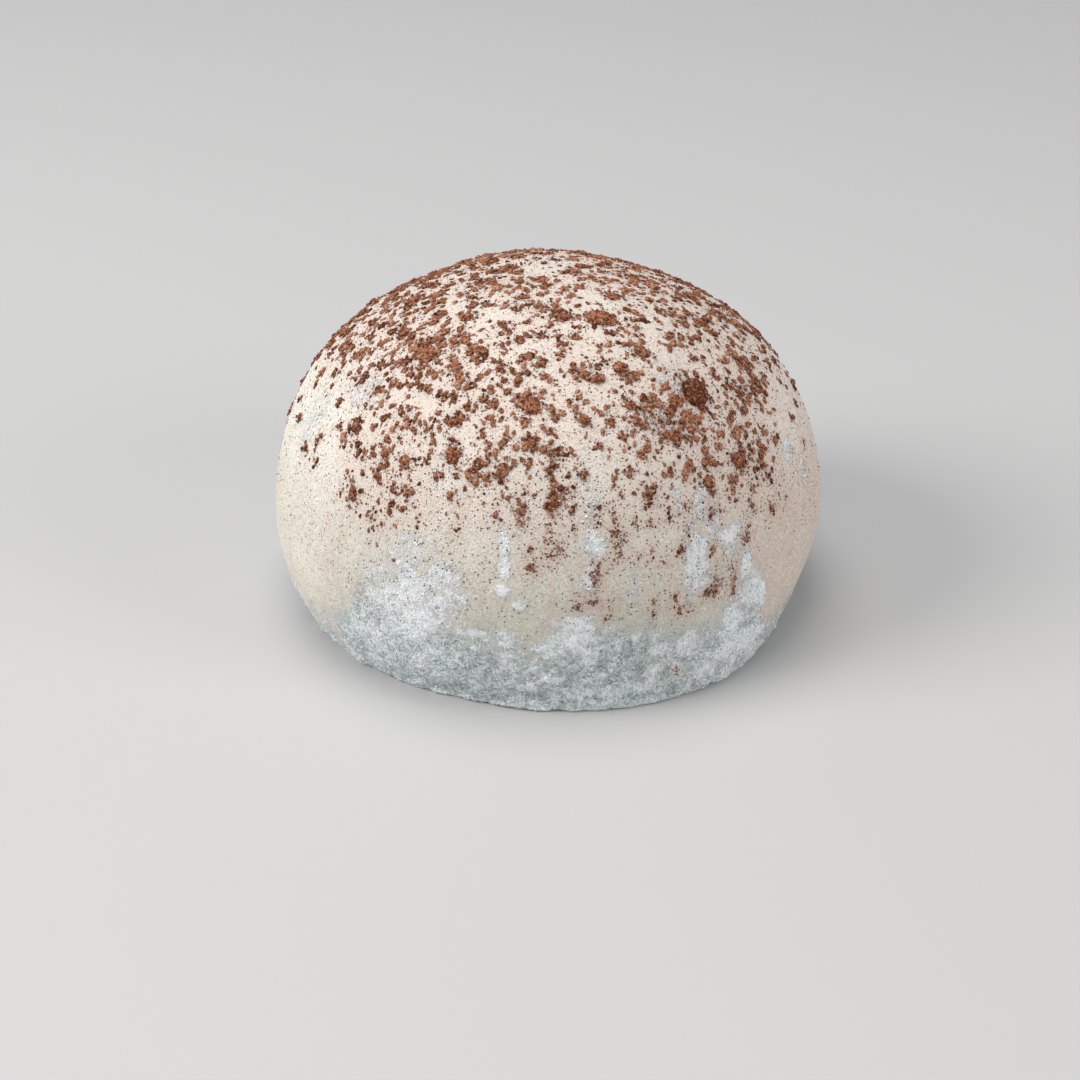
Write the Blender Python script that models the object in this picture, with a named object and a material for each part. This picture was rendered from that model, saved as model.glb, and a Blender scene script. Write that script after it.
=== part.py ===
"""A mochi: one low, soft dome of rice dough on a flat foot, dusted with cocoa.

The largest clumps of cocoa are fused to the dough as relief, so the whole sweet is one solid.
Metres, +Z up, +X to the right and +Y to the back. The origin is on the surface that the mochi
stands on, under the middle of its widest ring. Places on the skin are given by two angles in
degrees: the azimuth, counter-clockwise from +X, and the rise, 0 at the widest ring and 90 at the top.
"""

import math
import random

import bmesh
import bpy
from mathutils import Matrix, Vector

# Driving dimensions of the dough
RING_RADIUS = 0.0244  # mean radius of the widest ring
HEIGHT = 0.0314
WIDEST_LEVEL = 0.0087  # height of the widest ring
FOOT_RADIUS = 0.02125  # mean radius of the foot
DOME_POWER = 2.19  # 2 is an ellipse, and more is fuller in the shoulder
TUCK_POWER = 1.65  # 1 is a straight cone from the widest ring down to the foot
APEX_LEAN = Vector((-0.00035, -0.0020, 0))  # how far the top leans off the middle
FOOT_LEAN = Vector((0.0001, -0.00065, 0))

# Slow waves round the plan: (waves in a turn, share of the radius, azimuth of a crest)
RING_WAVES = ((2, 0.031, 17),)
FOOT_WAVES = ((2, 0.037, 94), (3, 0.037, -46))

# Soft hollows pressed into the skin: (azimuth, rise, radius in degrees, depth)
HOLLOWS = (
    (34, 64, 20, 0.00045),
    (147, 63, 18, 0.00030),
    (-118, -49, 20, 0.00050),
    (-70, -55, 14, 0.00025),
    (112, 30, 30, 0.00035),
)

# Low swells of the dough: (waves round, waves from foot to top, height, phase)
SWELLS = ((3, 2, 0.00012, 0.4), (5, 3, 0.00008, 2.1), (7, 2, 0.00005, 4.0))

# Tongues of caked starch that run up the flank: (waves in a turn, height, phase)
TONGUES = ((9, 0.00008, 0.6), (13, 0.00007, 2.4), (17, 0.00005, 5.1))
TONGUE_RISE = -22  # where on the flank they stand out most
TONGUE_SPREAD = 19

# Thin uneven lip where the dough spreads on the surface below it
LIP_LEVEL = 0.0005
LIP_DEPTH = 0.0006
LIP_REACH = 0.00035
LIP_WAVES = ((4, 0.30, 0.9), (9, 0.25, 3.3), (15, 0.20, 1.7))

# The underside: flat, with the pinch that closes the dough in its middle
UNDERSIDE_RISE = -60  # below this rise the skin is the underside
PINCH_RADIUS = 0.0055
PINCH_DEPTH = 0.0008
PINCH_FOLDS = 7
PINCH_FOLD_SHARE = 0.25

DOUGH_SEGMENTS = 64
DOUGH_RINGS = 34

# The largest clumps of cocoa, each with a place of its own:
# (azimuth, rise, length, width, height, turn of the length from the downhill line)
MAIN_CLUMPS = (
    (-44.5, 46, 0.0031, 0.0028, 0.00110, 0),
    (-57, 72, 0.0028, 0.0023, 0.00075, 80),
    (-136, 57.5, 0.0038, 0.0026, 0.00065, 60),
    (-94, 49.5, 0.0028, 0.0024, 0.00065, 20),
    (143, 82, 0.0038, 0.0022, 0.00060, 70),
    (-112.5, 36, 0.0027, 0.0018, 0.00060, 30),
    (-114, 44, 0.0028, 0.0013, 0.00055, -50),
    (-57.5, 38.5, 0.0034, 0.0015, 0.00055, 65),
    (-41.5, 28, 0.0030, 0.0018, 0.00060, 70),
    (-52, 26, 0.0022, 0.0015, 0.00055, 40),
    (-135, 21.5, 0.0023, 0.0016, 0.00060, 10),
    (-100, 34, 0.0022, 0.0015, 0.00055, -20),
    (-176, 64, 0.0028, 0.0018, 0.00055, 60),
    (-154.5, 59, 0.0028, 0.0017, 0.00055, 85),
    (-64, 57, 0.0021, 0.0016, 0.00055, 15),
    (-88.5, 28, 0.0028, 0.0010, 0.00050, 0),
    (-18.5, 46, 0.0027, 0.0013, 0.00050, 10),
    (-27.5, 76, 0.0024, 0.0018, 0.00055, 45),
    (-77.5, 74, 0.0024, 0.0017, 0.00055, -70),
    (-51.5, 59.5, 0.0022, 0.0016, 0.00055, 30),
)

# The other clumps are strewn by rule, the largest first
STREWN_CLUMPS = 160
STREWN_SEED = 41
STREWN_LARGEST = 0.0019
STREWN_SMALLEST = 0.0010
STREWN_GAP = 0.00055  # bare skin kept between two clumps
DUSTED_RISE = 18  # no cocoa lies below this
FULL_RISE = 40  # above this it is dusted in full
DUST_SIDE = 150  # the azimuth that the cocoa was sifted from
DUST_LEAN = 0.35  # how much thinner it lies on the far side
MOST_DRAWS = 6000
CLUMP_SINK = 0.35  # how much of a clump's half height is below the skin
CLUMP_RUGGEDNESS = 0.20
LARGE_CLUMP = 0.0026  # from this length a clump has finer facets

DOUGH_COLOR = (0.80, 0.73, 0.65, 1)
COCOA_COLOR = (0.23, 0.095, 0.048, 1)
SHARP_ANGLE = math.radians(38)


def clear_scene():
    for old in list(bpy.data.objects):
        bpy.data.objects.remove(old, do_unlink=True)


def new_collection(name):
    collection = bpy.data.collections.new(name)
    bpy.context.scene.collection.children.link(collection)
    return collection


def plain_material(name, color, roughness):
    material = bpy.data.materials.new(name)
    material.use_nodes = True
    shader = material.node_tree.nodes["Principled BSDF"]
    shader.inputs["Base Color"].default_value = color
    shader.inputs["Roughness"].default_value = roughness
    shader.inputs["Metallic"].default_value = 0
    return material


def crest_waves(azimuth, waves):
    return sum(size * math.cos(count * (azimuth - math.radians(crest))) for count, size, crest in waves)


def phase_waves(azimuth, waves):
    return sum(size * math.sin(count * azimuth + phase) for count, size, phase in waves)


def soft_step(low, high, value):
    share = min(max((value - low) / (high - low), 0), 1)
    return share * share * (3 - 2 * share)


def bell(distance, spread):
    return math.exp(-((distance / spread) ** 2))


def ring_radius(azimuth):
    return RING_RADIUS * (1 + crest_waves(azimuth, RING_WAVES))


def foot_radius(azimuth):
    return FOOT_RADIUS * (1 + crest_waves(azimuth, FOOT_WAVES))


def dome_point(azimuth, rise):
    up = max(math.sin(rise), 0) ** (2 / DOME_POWER)
    out = max(math.cos(rise), 0) ** (2 / DOME_POWER)
    radius = out * (RING_RADIUS + (ring_radius(azimuth) - RING_RADIUS) * (1 - up))
    level = WIDEST_LEVEL + (HEIGHT - WIDEST_LEVEL) * up
    return Vector((radius * math.cos(azimuth), radius * math.sin(azimuth), level)) + APEX_LEAN * up**2


def tuck_point(azimuth, fall):
    down = max(math.sin(fall), 0) ** (2 / TUCK_POWER)
    out = max(math.cos(fall), 0) ** (2 / TUCK_POWER)
    foot = foot_radius(azimuth)
    radius = foot + (ring_radius(azimuth) - foot) * out
    level = WIDEST_LEVEL * (1 - down)
    lip_shape = 1 + phase_waves(azimuth, LIP_WAVES)
    radius += LIP_REACH * lip_shape * bell(level - LIP_LEVEL, LIP_DEPTH)
    return Vector((radius * math.cos(azimuth), radius * math.sin(azimuth), level)) + FOOT_LEAN * down


def underside_point(azimuth, share):
    """share runs from 0 at the foot's edge to 1 at the pinch in the middle."""
    edge = tuck_point(azimuth, math.radians(90))
    point = edge.lerp(FOOT_LEAN, share)
    from_middle = (point - FOOT_LEAN).length
    folds = 1 + PINCH_FOLD_SHARE * math.cos(PINCH_FOLDS * azimuth)
    point.z = PINCH_DEPTH * folds * soft_step(PINCH_RADIUS, 0, from_middle)
    return point


def angle_between(azimuth, rise, other_azimuth, other_rise):
    def direction(around, above):
        return Vector(
            (math.cos(above) * math.cos(around), math.cos(above) * math.sin(around), math.sin(above))
        )

    return direction(azimuth, rise).angle(direction(other_azimuth, other_rise))


def relief(azimuth, rise):
    """How far the skin stands above the plain form, or below it in a hollow."""
    height = 0.0
    for around, above, size, phase in SWELLS:
        height += size * math.cos(rise) * math.sin(around * azimuth + phase) * math.cos(above * rise)
    tongues = phase_waves(azimuth, TONGUES)
    height += tongues * bell(math.degrees(rise) - TONGUE_RISE, TONGUE_SPREAD)
    for hollow_azimuth, hollow_rise, radius, depth in HOLLOWS:
        apart = angle_between(azimuth, rise, math.radians(hollow_azimuth), math.radians(hollow_rise))
        height -= depth * bell(math.degrees(apart), radius)
    return height


def skin_point(azimuth, rise):
    """A point of the skin. Both angles are in radians."""
    underside = math.radians(UNDERSIDE_RISE)
    if rise <= underside:
        return underside_point(azimuth, (underside - rise) / (math.radians(90) + underside))
    if rise < 0:
        point = tuck_point(azimuth, math.radians(90) * rise / underside)
    else:
        point = dome_point(azimuth, rise)
    outward = Vector(
        (math.cos(rise) * math.cos(azimuth), math.cos(rise) * math.sin(azimuth), max(math.sin(rise), 0))
    )
    return point + outward * relief(azimuth, rise) * soft_step(0, LIP_LEVEL, point.z)


def skin_frame(azimuth, rise):
    """A matrix on the skin: its X runs downhill and its Z stands straight out."""
    step = 0.001
    point = skin_point(azimuth, rise)
    down = (skin_point(azimuth, rise - step) - point).normalized()
    around = (skin_point(azimuth + step, rise) - point).normalized()
    out = down.cross(around).normalized()
    side = out.cross(down)
    frame = Matrix((down, side, out)).transposed().to_4x4()
    frame.translation = point
    return frame


def shape_dough(material, collection):
    mesh = bpy.data.meshes.new("mochi")
    shape = bmesh.new()
    bmesh.ops.create_uvsphere(shape, u_segments=DOUGH_SEGMENTS, v_segments=DOUGH_RINGS, radius=1)
    for vertex in shape.verts:
        azimuth = math.atan2(vertex.co.y, vertex.co.x)
        rise = math.asin(min(max(vertex.co.z, -1), 1))
        vertex.co = skin_point(azimuth, rise)
    shape.to_mesh(mesh)
    shape.free()
    mesh.materials.append(material)
    dough = bpy.data.objects.new("mochi", mesh)
    collection.objects.link(dough)
    return dough


def dust_cover(azimuth, rise):
    """How thickly the cocoa lies here, from 0 to 1."""
    settled = soft_step(math.radians(DUSTED_RISE), math.radians(FULL_RISE), rise)
    far_side = 0.5 - 0.5 * math.cos(azimuth - math.radians(DUST_SIDE))
    return settled * (1 - DUST_LEAN * far_side * math.cos(rise))


def strew_clumps():
    """Places and sizes of the strewn clumps, in the form of MAIN_CLUMPS."""
    draw = random.Random(STREWN_SEED)
    taken = []
    for azimuth, rise, length, _, _, _ in MAIN_CLUMPS:
        taken.append((skin_point(math.radians(azimuth), math.radians(rise)), length / 2))
    strewn = []
    for _ in range(MOST_DRAWS):
        if len(strewn) == STREWN_CLUMPS:
            break
        azimuth = draw.uniform(-180, 180)
        rise = math.degrees(math.asin(draw.uniform(math.sin(math.radians(DUSTED_RISE)), 1)))
        chance = draw.random()
        stretch = draw.uniform(0.6, 0.95)
        turn = draw.uniform(-90, 90)
        if chance > dust_cover(math.radians(azimuth), math.radians(rise)):
            continue
        done = len(strewn) / STREWN_CLUMPS
        length = STREWN_LARGEST + (STREWN_SMALLEST - STREWN_LARGEST) * math.sqrt(done)
        place = skin_point(math.radians(azimuth), math.radians(rise))
        if any((place - other).length < length / 2 + reach + STREWN_GAP for other, reach in taken):
            continue
        taken.append((place, length / 2))
        strewn.append((azimuth, rise, length, length * stretch, length * 0.34, turn))
    return strewn


def make_clump(number, size, material, collection):
    azimuth, rise, length, width, height, turn = size
    draw = random.Random(number)
    shape = bmesh.new()
    bmesh.ops.create_icosphere(shape, subdivisions=2 if length > LARGE_CLUMP else 1, radius=1)
    half_height = height / (1 - CLUMP_SINK)
    for vertex in shape.verts:
        vertex.co *= 1 + draw.uniform(-CLUMP_RUGGEDNESS, CLUMP_RUGGEDNESS)
        vertex.co.x *= length / 2
        vertex.co.y *= width / 2
        vertex.co.z *= half_height
    mesh = bpy.data.meshes.new(f"clump_{number}")
    shape.to_mesh(mesh)
    shape.free()
    mesh.materials.append(material)
    clump = bpy.data.objects.new(mesh.name, mesh)
    collection.objects.link(clump)
    sunk = Matrix.Translation((0, 0, -CLUMP_SINK * half_height))
    turned = Matrix.Rotation(math.radians(turn), 4, "Z")
    clump.matrix_world = skin_frame(math.radians(azimuth), math.radians(rise)) @ sunk @ turned


def fuse_clumps(dough, clumps):
    """Joins the clumps to the dough as one solid, and removes what they were made from."""
    union = dough.modifiers.new("fused clumps", "BOOLEAN")
    union.operation = "UNION"
    union.operand_type = "COLLECTION"
    union.collection = clumps
    union.solver = "EXACT"
    union.material_mode = "TRANSFER"
    bpy.context.view_layer.update()
    graph = bpy.context.evaluated_depsgraph_get()
    fused = bpy.data.meshes.new_from_object(dough.evaluated_get(graph))
    dough.modifiers.clear()
    plain = dough.data
    dough.data = fused
    bpy.data.meshes.remove(plain)
    fused.name = "mochi"
    for clump in list(clumps.objects):
        bpy.data.objects.remove(clump, do_unlink=True)
    bpy.data.collections.remove(clumps)


def main():
    clear_scene()
    sweet = new_collection("mochi sweet")
    clumps = new_collection("cocoa clumps")
    dough_material = plain_material("rice dough", DOUGH_COLOR, 0.62)
    cocoa_material = plain_material("cocoa", COCOA_COLOR, 0.9)
    dough = shape_dough(dough_material, sweet)
    for number, size in enumerate([*MAIN_CLUMPS, *strew_clumps()]):
        make_clump(number, size, cocoa_material, clumps)
    fuse_clumps(dough, clumps)
    dough.data.shade_smooth()
    dough.data.set_sharp_from_angle(angle=SHARP_ANGLE)


main()
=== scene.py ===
import math
import random

import bmesh
import bpy
import numpy as np
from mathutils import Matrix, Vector, noise
from mathutils.bvhtree import BVHTree
from mathutils.kdtree import KDTree


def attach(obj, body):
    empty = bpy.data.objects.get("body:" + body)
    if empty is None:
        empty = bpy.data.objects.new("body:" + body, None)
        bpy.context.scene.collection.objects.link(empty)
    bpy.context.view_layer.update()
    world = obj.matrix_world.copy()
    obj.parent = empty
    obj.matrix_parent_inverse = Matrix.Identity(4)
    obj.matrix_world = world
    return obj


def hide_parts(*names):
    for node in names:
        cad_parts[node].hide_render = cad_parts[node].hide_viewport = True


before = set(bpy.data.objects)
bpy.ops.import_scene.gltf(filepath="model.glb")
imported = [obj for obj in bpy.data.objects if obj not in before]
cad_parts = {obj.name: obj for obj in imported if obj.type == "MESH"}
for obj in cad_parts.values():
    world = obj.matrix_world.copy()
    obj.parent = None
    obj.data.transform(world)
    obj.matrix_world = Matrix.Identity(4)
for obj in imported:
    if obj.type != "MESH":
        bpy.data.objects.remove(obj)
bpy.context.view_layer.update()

print("frame loaded, nodes:", sorted(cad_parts))

mm = 0.001
scene = bpy.context.scene


def freeHands():
    # nothing selected and nothing in edit mode before the next piece is started
    if bpy.context.object and bpy.context.object.mode != "OBJECT":
        bpy.ops.object.mode_set(mode="OBJECT")
    bpy.ops.object.select_all(action="DESELECT")


def pickUp(piece):
    freeHands()
    piece.select_set(True)
    bpy.context.view_layer.objects.active = piece


def applyModifier(piece, modifier):
    pickUp(piece)
    bpy.ops.object.modifier_apply(modifier=modifier.name)


def softStep(low, high, value):
    share = min(max((value - low) / (high - low), 0), 1)
    return share * share * (3 - 2 * share)


def bell(distance, spread):
    return math.exp(-((distance / spread) ** 2))


def valueAround(pairs, azimuth):
    # smooth between values given for some azimuths in degrees
    degrees = math.degrees(azimuth)
    lastPair = (pairs[0][0] + 360, pairs[0][1])
    for (low, lowValue), (high, highValue) in zip(pairs, pairs[1:] + [lastPair]):
        if low <= degrees <= high:
            return lowValue + (highValue - lowValue) * softStep(low, high, degrees)
    return pairs[0][1]


def drawnOut(point, wide, tall):
    # a point in the measure of a texture that is taller than wide
    return Vector((point.x / wide, point.y / wide, point.z / tall))


# the dough: round rings stacked into a dome, pushed out of round, then swelled and hollowed
doughForm = {
    "ringRadius": 24.4 * mm,  # mean radius of the widest ring
    "height": 31.4 * mm,
    "widestLevel": 8.7 * mm,
    "footRadius": 21.25 * mm,
    "domePower": 2.19,
    "tuckPower": 1.65,
    "apexLean": Vector((-0.35 * mm, -2.0 * mm, 0)),
    "footLean": Vector((0.1 * mm, -0.65 * mm, 0)),
    "undersideRise": math.radians(-60),
    "ringWaves": [(2, 0.031, 17)],  # waves in a turn, share of the radius, azimuth of a crest
    "footWaves": [(2, 0.037, 94), (3, 0.037, -46)],
    "hollows": [  # azimuth, rise, radius in degrees, depth
        (34, 64, 20, 0.45 * mm),
        (147, 63, 18, 0.30 * mm),
        (-118, -49, 20, 0.50 * mm),
        (-70, -55, 14, 0.25 * mm),
        (112, 30, 30, 0.35 * mm),
    ],
    "swells": [(3, 2, 0.12 * mm, 0.4), (5, 3, 0.08 * mm, 2.1), (7, 2, 0.05 * mm, 4.0)],
    "tongues": [(9, 0.08 * mm, 0.6), (13, 0.07 * mm, 2.4), (17, 0.05 * mm, 5.1)],
    "tongueRise": -22,
    "tongueSpread": 19,
    "lipLevel": 0.5 * mm,
    "lipDepth": 0.6 * mm,
    "lipReach": 0.35 * mm,
    "lipWaves": [(4, 0.30, 0.9), (9, 0.25, 3.3), (15, 0.20, 1.7)],
    "pinchRadius": 5.5 * mm,
    "pinchDepth": 0.8 * mm,
    "pinchFolds": 7,
    "pinchFoldShare": 0.25,
}


def crestWaves(azimuth, waves):
    return sum(size * math.cos(count * (azimuth - math.radians(crest))) for count, size, crest in waves)


def phaseWaves(azimuth, waves):
    return sum(size * math.sin(count * azimuth + phase) for count, size, phase in waves)


def direction(azimuth, rise):
    return Vector((math.cos(rise) * math.cos(azimuth), math.cos(rise) * math.sin(azimuth), math.sin(rise)))


def farShare(azimuth, side):
    # from 0 on the side given in degrees to 1 opposite it
    return 0.5 - 0.5 * math.cos(azimuth - math.radians(side))


def spotBell(here, azimuth, rise, radius):
    # 1 at a spot given in degrees, fading out round it
    apart = here.angle(direction(math.radians(azimuth), math.radians(rise)))
    return bell(math.degrees(apart), radius)


def ringShares(rise):
    # how far up or down its curve a ring lies, and how far out, both from 0 to 1
    f = doughForm
    turn, power = rise, f["domePower"]
    if rise < 0:
        turn, power = math.radians(90) * rise / f["undersideRise"], f["tuckPower"]
    return max(math.sin(turn), 0) ** (2 / power), max(math.cos(turn), 0) ** (2 / power)


def undersideShare(rise):
    # from 0 at the foot's edge to 1 in the middle of the underside
    return (doughForm["undersideRise"] - rise) / (math.radians(90) + doughForm["undersideRise"])


def plainRing(rise):
    # radius, level and lean of one round ring, before the plan is pushed out of round
    f = doughForm
    along, out = ringShares(rise)
    if rise >= 0:
        level = f["widestLevel"] + (f["height"] - f["widestLevel"]) * along
        return f["ringRadius"] * out, level, f["apexLean"] * along**2
    if rise > f["undersideRise"]:
        radius = f["footRadius"] + (f["ringRadius"] - f["footRadius"]) * out
        return radius, f["widestLevel"] * (1 - along), f["footLean"] * along
    return f["footRadius"] * (1 - undersideShare(rise)), 0.0, f["footLean"]


def outOfRound(azimuth, rise):
    # how far the plan is pushed out from its round ring, and how high the pinch lifts the underside
    f = doughForm
    along, out = ringShares(rise)
    ring = f["ringRadius"] * crestWaves(azimuth, f["ringWaves"])
    if rise >= 0:
        return ring * out * (1 - along), 0.0
    foot = f["footRadius"] * crestWaves(azimuth, f["footWaves"])
    lip = f["lipReach"] * (1 + phaseWaves(azimuth, f["lipWaves"]))
    lip *= bell(plainRing(rise)[1] - f["lipLevel"], f["lipDepth"])
    if rise > f["undersideRise"]:
        return foot + (ring - foot) * out + lip, 0.0
    outward = 1 - undersideShare(rise)
    fromMiddle = (f["footRadius"] + foot + lip) * outward
    folds = 1 + f["pinchFoldShare"] * math.cos(f["pinchFolds"] * azimuth)
    return (foot + lip) * outward, f["pinchDepth"] * folds * softStep(f["pinchRadius"], 0, fromMiddle)


def relief(azimuth, rise):
    f = doughForm
    height = 0.0
    for around, above, size, phase in f["swells"]:
        height += size * math.cos(rise) * math.sin(around * azimuth + phase) * math.cos(above * rise)
    reached = bell(math.degrees(rise) - f["tongueRise"], f["tongueSpread"])
    height += phaseWaves(azimuth, f["tongues"]) * reached
    here = direction(azimuth, rise)
    for hollowAzimuth, hollowRise, radius, depth in f["hollows"]:
        height -= depth * spotBell(here, hollowAzimuth, hollowRise, radius)
    return height


def skinPush(azimuth, rise, level):
    # from the plain round ring to the true skin
    push, lift = outOfRound(azimuth, rise)
    move = Vector((push * math.cos(azimuth), push * math.sin(azimuth), lift))
    if rise > doughForm["undersideRise"]:
        outward = direction(azimuth, rise)
        outward.z = max(outward.z, 0)
        move += outward * relief(azimuth, rise) * softStep(0, doughForm["lipLevel"], level)
    return move


def skinPoint(azimuth, rise):
    radius, level, lean = plainRing(rise)
    ring = Vector((radius * math.cos(azimuth), radius * math.sin(azimuth), level))
    return ring + lean + skinPush(azimuth, rise, level)


def skinSpot(azimuth, rise):
    # the same, from degrees
    return skinPoint(math.radians(azimuth), math.radians(rise))


def newGroup(name, inputs, outputs):
    group = bpy.data.node_groups.new(name, "ShaderNodeTree")
    for socketName, kind, value in inputs:
        socket = group.interface.new_socket(socketName, in_out="INPUT", socket_type=f"NodeSocket{kind}")
        if value is not None:
            socket.default_value = value
    for socketName, kind in outputs:
        group.interface.new_socket(socketName, in_out="OUTPUT", socket_type=f"NodeSocket{kind}")
    return group, group.nodes.new("NodeGroupInput"), group.nodes.new("NodeGroupOutput")


def feed(tree, socket, value):
    # an output is linked, a number or a colour is set on the socket
    if isinstance(value, bpy.types.NodeSocket):
        tree.links.new(value, socket)
    elif isinstance(value, tuple):
        socket.default_value = (*value, 1.0)
    else:
        socket.default_value = value


def addMath(tree, operation, a, b, clamp=False):
    node = tree.nodes.new("ShaderNodeMath")
    node.operation = operation
    node.use_clamp = clamp
    feed(tree, node.inputs[0], a)
    feed(tree, node.inputs[1], b)
    return node.outputs[0]


def times(tree, a, b):
    return addMath(tree, "MULTIPLY", a, b)


def plus(tree, a, b):
    return addMath(tree, "ADD", a, b)


def addRange(tree, value, fromLow, fromHigh, toLow=0.0, toHigh=1.0, smooth=True):
    node = tree.nodes.new("ShaderNodeMapRange")
    node.interpolation_type = "SMOOTHSTEP" if smooth else "LINEAR"
    names = ("Value", "From Min", "From Max", "To Min", "To Max")
    for name, number in zip(names, (value, fromLow, fromHigh, toLow, toHigh)):
        feed(tree, node.inputs[name], number)
    return node.outputs["Result"]


def addNoise(tree, where, scale, detail, rough):
    node = tree.nodes.new("ShaderNodeTexNoise")
    for name, value in zip(("Vector", "Scale", "Detail", "Roughness"), (where, scale, detail, rough)):
        feed(tree, node.inputs[name], value)
    return node.outputs["Fac"]


def addClouds(tree, where, scale, detail, rough, low, high):
    # a noise spread out between two of its levels, so that it runs from 0 to 1
    return addRange(tree, addNoise(tree, where, scale, detail, rough), low, high)


def addCells(tree, where, scale):
    # two values that differ from cell to cell, and how far a point is from its cell's middle
    cells = tree.nodes.new("ShaderNodeTexVoronoi")
    feed(tree, cells.inputs["Vector"], where)
    feed(tree, cells.inputs["Scale"], scale)
    separate = tree.nodes.new("ShaderNodeSeparateColor")
    tree.links.new(cells.outputs["Color"], separate.inputs["Color"])
    return separate.outputs["Red"], separate.outputs["Green"], cells.outputs["Distance"]


def mixColor(tree, factor, a, b):
    # a Mix node has sockets of one name for each kind of value, so its colour sockets are picked by type
    node = tree.nodes.new("ShaderNodeMix")
    node.data_type = "RGBA"
    colorSockets = [socket for socket in node.inputs if socket.type == "RGBA"]
    for socket, value in zip((node.inputs[0], *colorSockets), (factor, a, b)):
        feed(tree, socket, value)
    return [socket for socket in node.outputs if socket.type == "RGBA"][0]


def layOver(tree, surface, mask, share, color):
    # one more colour on the surface, where the mask is
    return mixColor(tree, times(tree, mask, share), surface, color)


def makeGrainGroup():
    # fine powder: a grain at two sizes, how it stands as relief, and two values for each single grain
    group, groupIn, groupOut = newGroup(
        "powderGrain",
        [("Position", "Vector", None), ("Fineness", "Float", 5000.0), ("Clumping", "Float", 900.0)],
        [(name, "Float") for name in ("Grain", "Clumps", "Height", "Dim", "Bright")],
    )
    where = groupIn.outputs["Position"]
    grain = addClouds(group, where, groupIn.outputs["Fineness"], 1.5, 0.6, 0.32, 0.68)
    clumps = addClouds(group, where, groupIn.outputs["Clumping"], 4.0, 0.6, 0.30, 0.70)
    height = plus(group, times(group, grain, 0.35), times(group, clumps, 0.65))
    dim, bright, _ = addCells(group, where, groupIn.outputs["Fineness"])
    results = {"Grain": grain, "Clumps": clumps, "Height": height, "Dim": dim, "Bright": bright}
    for name, result in results.items():
        group.links.new(result, groupOut.inputs[name])
    return group


def makeEdgeGroup():
    # turns a soft painted cover into powder with a ragged edge
    group, groupIn, groupOut = newGroup(
        "raggedCover",
        [
            ("Position", "Vector", None),
            ("Cover", "Float", 0.5),
            ("Coarse", "Float", 700.0),
            ("Fine", "Float", 4000.0),
            ("Raggedness", "Float", 0.6),
            ("Softness", "Float", 0.08),
        ],
        [("Mask", "Float")],
    )
    where, softness = groupIn.outputs["Position"], groupIn.outputs["Softness"]
    coarse = addMath(group, "SUBTRACT", addNoise(group, where, groupIn.outputs["Coarse"], 4.0, 0.62), 0.5)
    fine = addMath(group, "SUBTRACT", addNoise(group, where, groupIn.outputs["Fine"], 2.0, 0.6), 0.5)
    swing = plus(group, coarse, times(group, fine, 0.55))
    depth = plus(group, groupIn.outputs["Cover"], times(group, swing, groupIn.outputs["Raggedness"]))
    low, high = addMath(group, "SUBTRACT", 0.5, softness), plus(group, 0.5, softness)
    group.links.new(addRange(group, depth, low, high), groupOut.inputs["Mask"])
    return group


powderGrain = makeGrainGroup()
raggedCover = makeEdgeGroup()


def placeGroup(tree, group, **values):
    node = tree.nodes.new("ShaderNodeGroup")
    node.node_tree = group
    for name, value in values.items():
        feed(tree, node.inputs[name], value)
    return node


def raggedMask(tree, where, cover, edge):
    return placeGroup(tree, raggedCover, Position=where, Cover=cover, **edge).outputs["Mask"]


def newMaterial(name, roughness):
    material = bpy.data.materials.new(name)
    material.use_nodes = True
    tree = material.node_tree
    shader = tree.nodes["Principled BSDF"]
    shader.inputs["Roughness"].default_value = roughness
    where = tree.nodes.new("ShaderNodeTexCoord").outputs["Object"]
    return material, tree, shader, where


def readAttribute(tree, name):
    node = tree.nodes.new("ShaderNodeAttribute")
    node.attribute_name = name
    return node.outputs["Fac"]


def addBump(tree, shader, height, distance, strength):
    bump = tree.nodes.new("ShaderNodeBump")
    bump.inputs["Distance"].default_value = distance
    bump.inputs["Strength"].default_value = strength
    tree.links.new(height, bump.inputs["Height"])
    tree.links.new(bump.outputs["Normal"], shader.inputs["Normal"])


print("shared effects made")


# camera, lights, air and floor
studio = {
    "viewRise": 30,  # degrees above the floor
    "viewDistance": 207.3 * mm,
    "aimPoint": Vector((-0.74 * mm, 1.79 * mm, 3.10 * mm)),
    "lens": 73.33,
    "sensor": 36,
    "nearest": 0.01,  # the camera's near limit
    "lightAim": Vector((0, 0, 12 * mm)),
    "floorSize": 1.6,
    "floorColor": (0.50, 0.50, 0.50),
    "skyColor": (0.80, 0.83, 0.88),
    "skyStrength": 0.42,
    "lights": [  # name, place, size, watts, colour
        ("keyLight", (-0.46, -0.15, 0.36), 0.34, 3.0, (1.0, 0.975, 0.945)),
        ("topLight", (-0.05, 0.06, 0.58), 0.36, 1.6, (1.0, 0.98, 0.96)),
        ("fillLight", (0.50, -0.25, 0.24), 0.34, 1.45, (1.0, 0.96, 0.92)),
    ],
}


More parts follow.
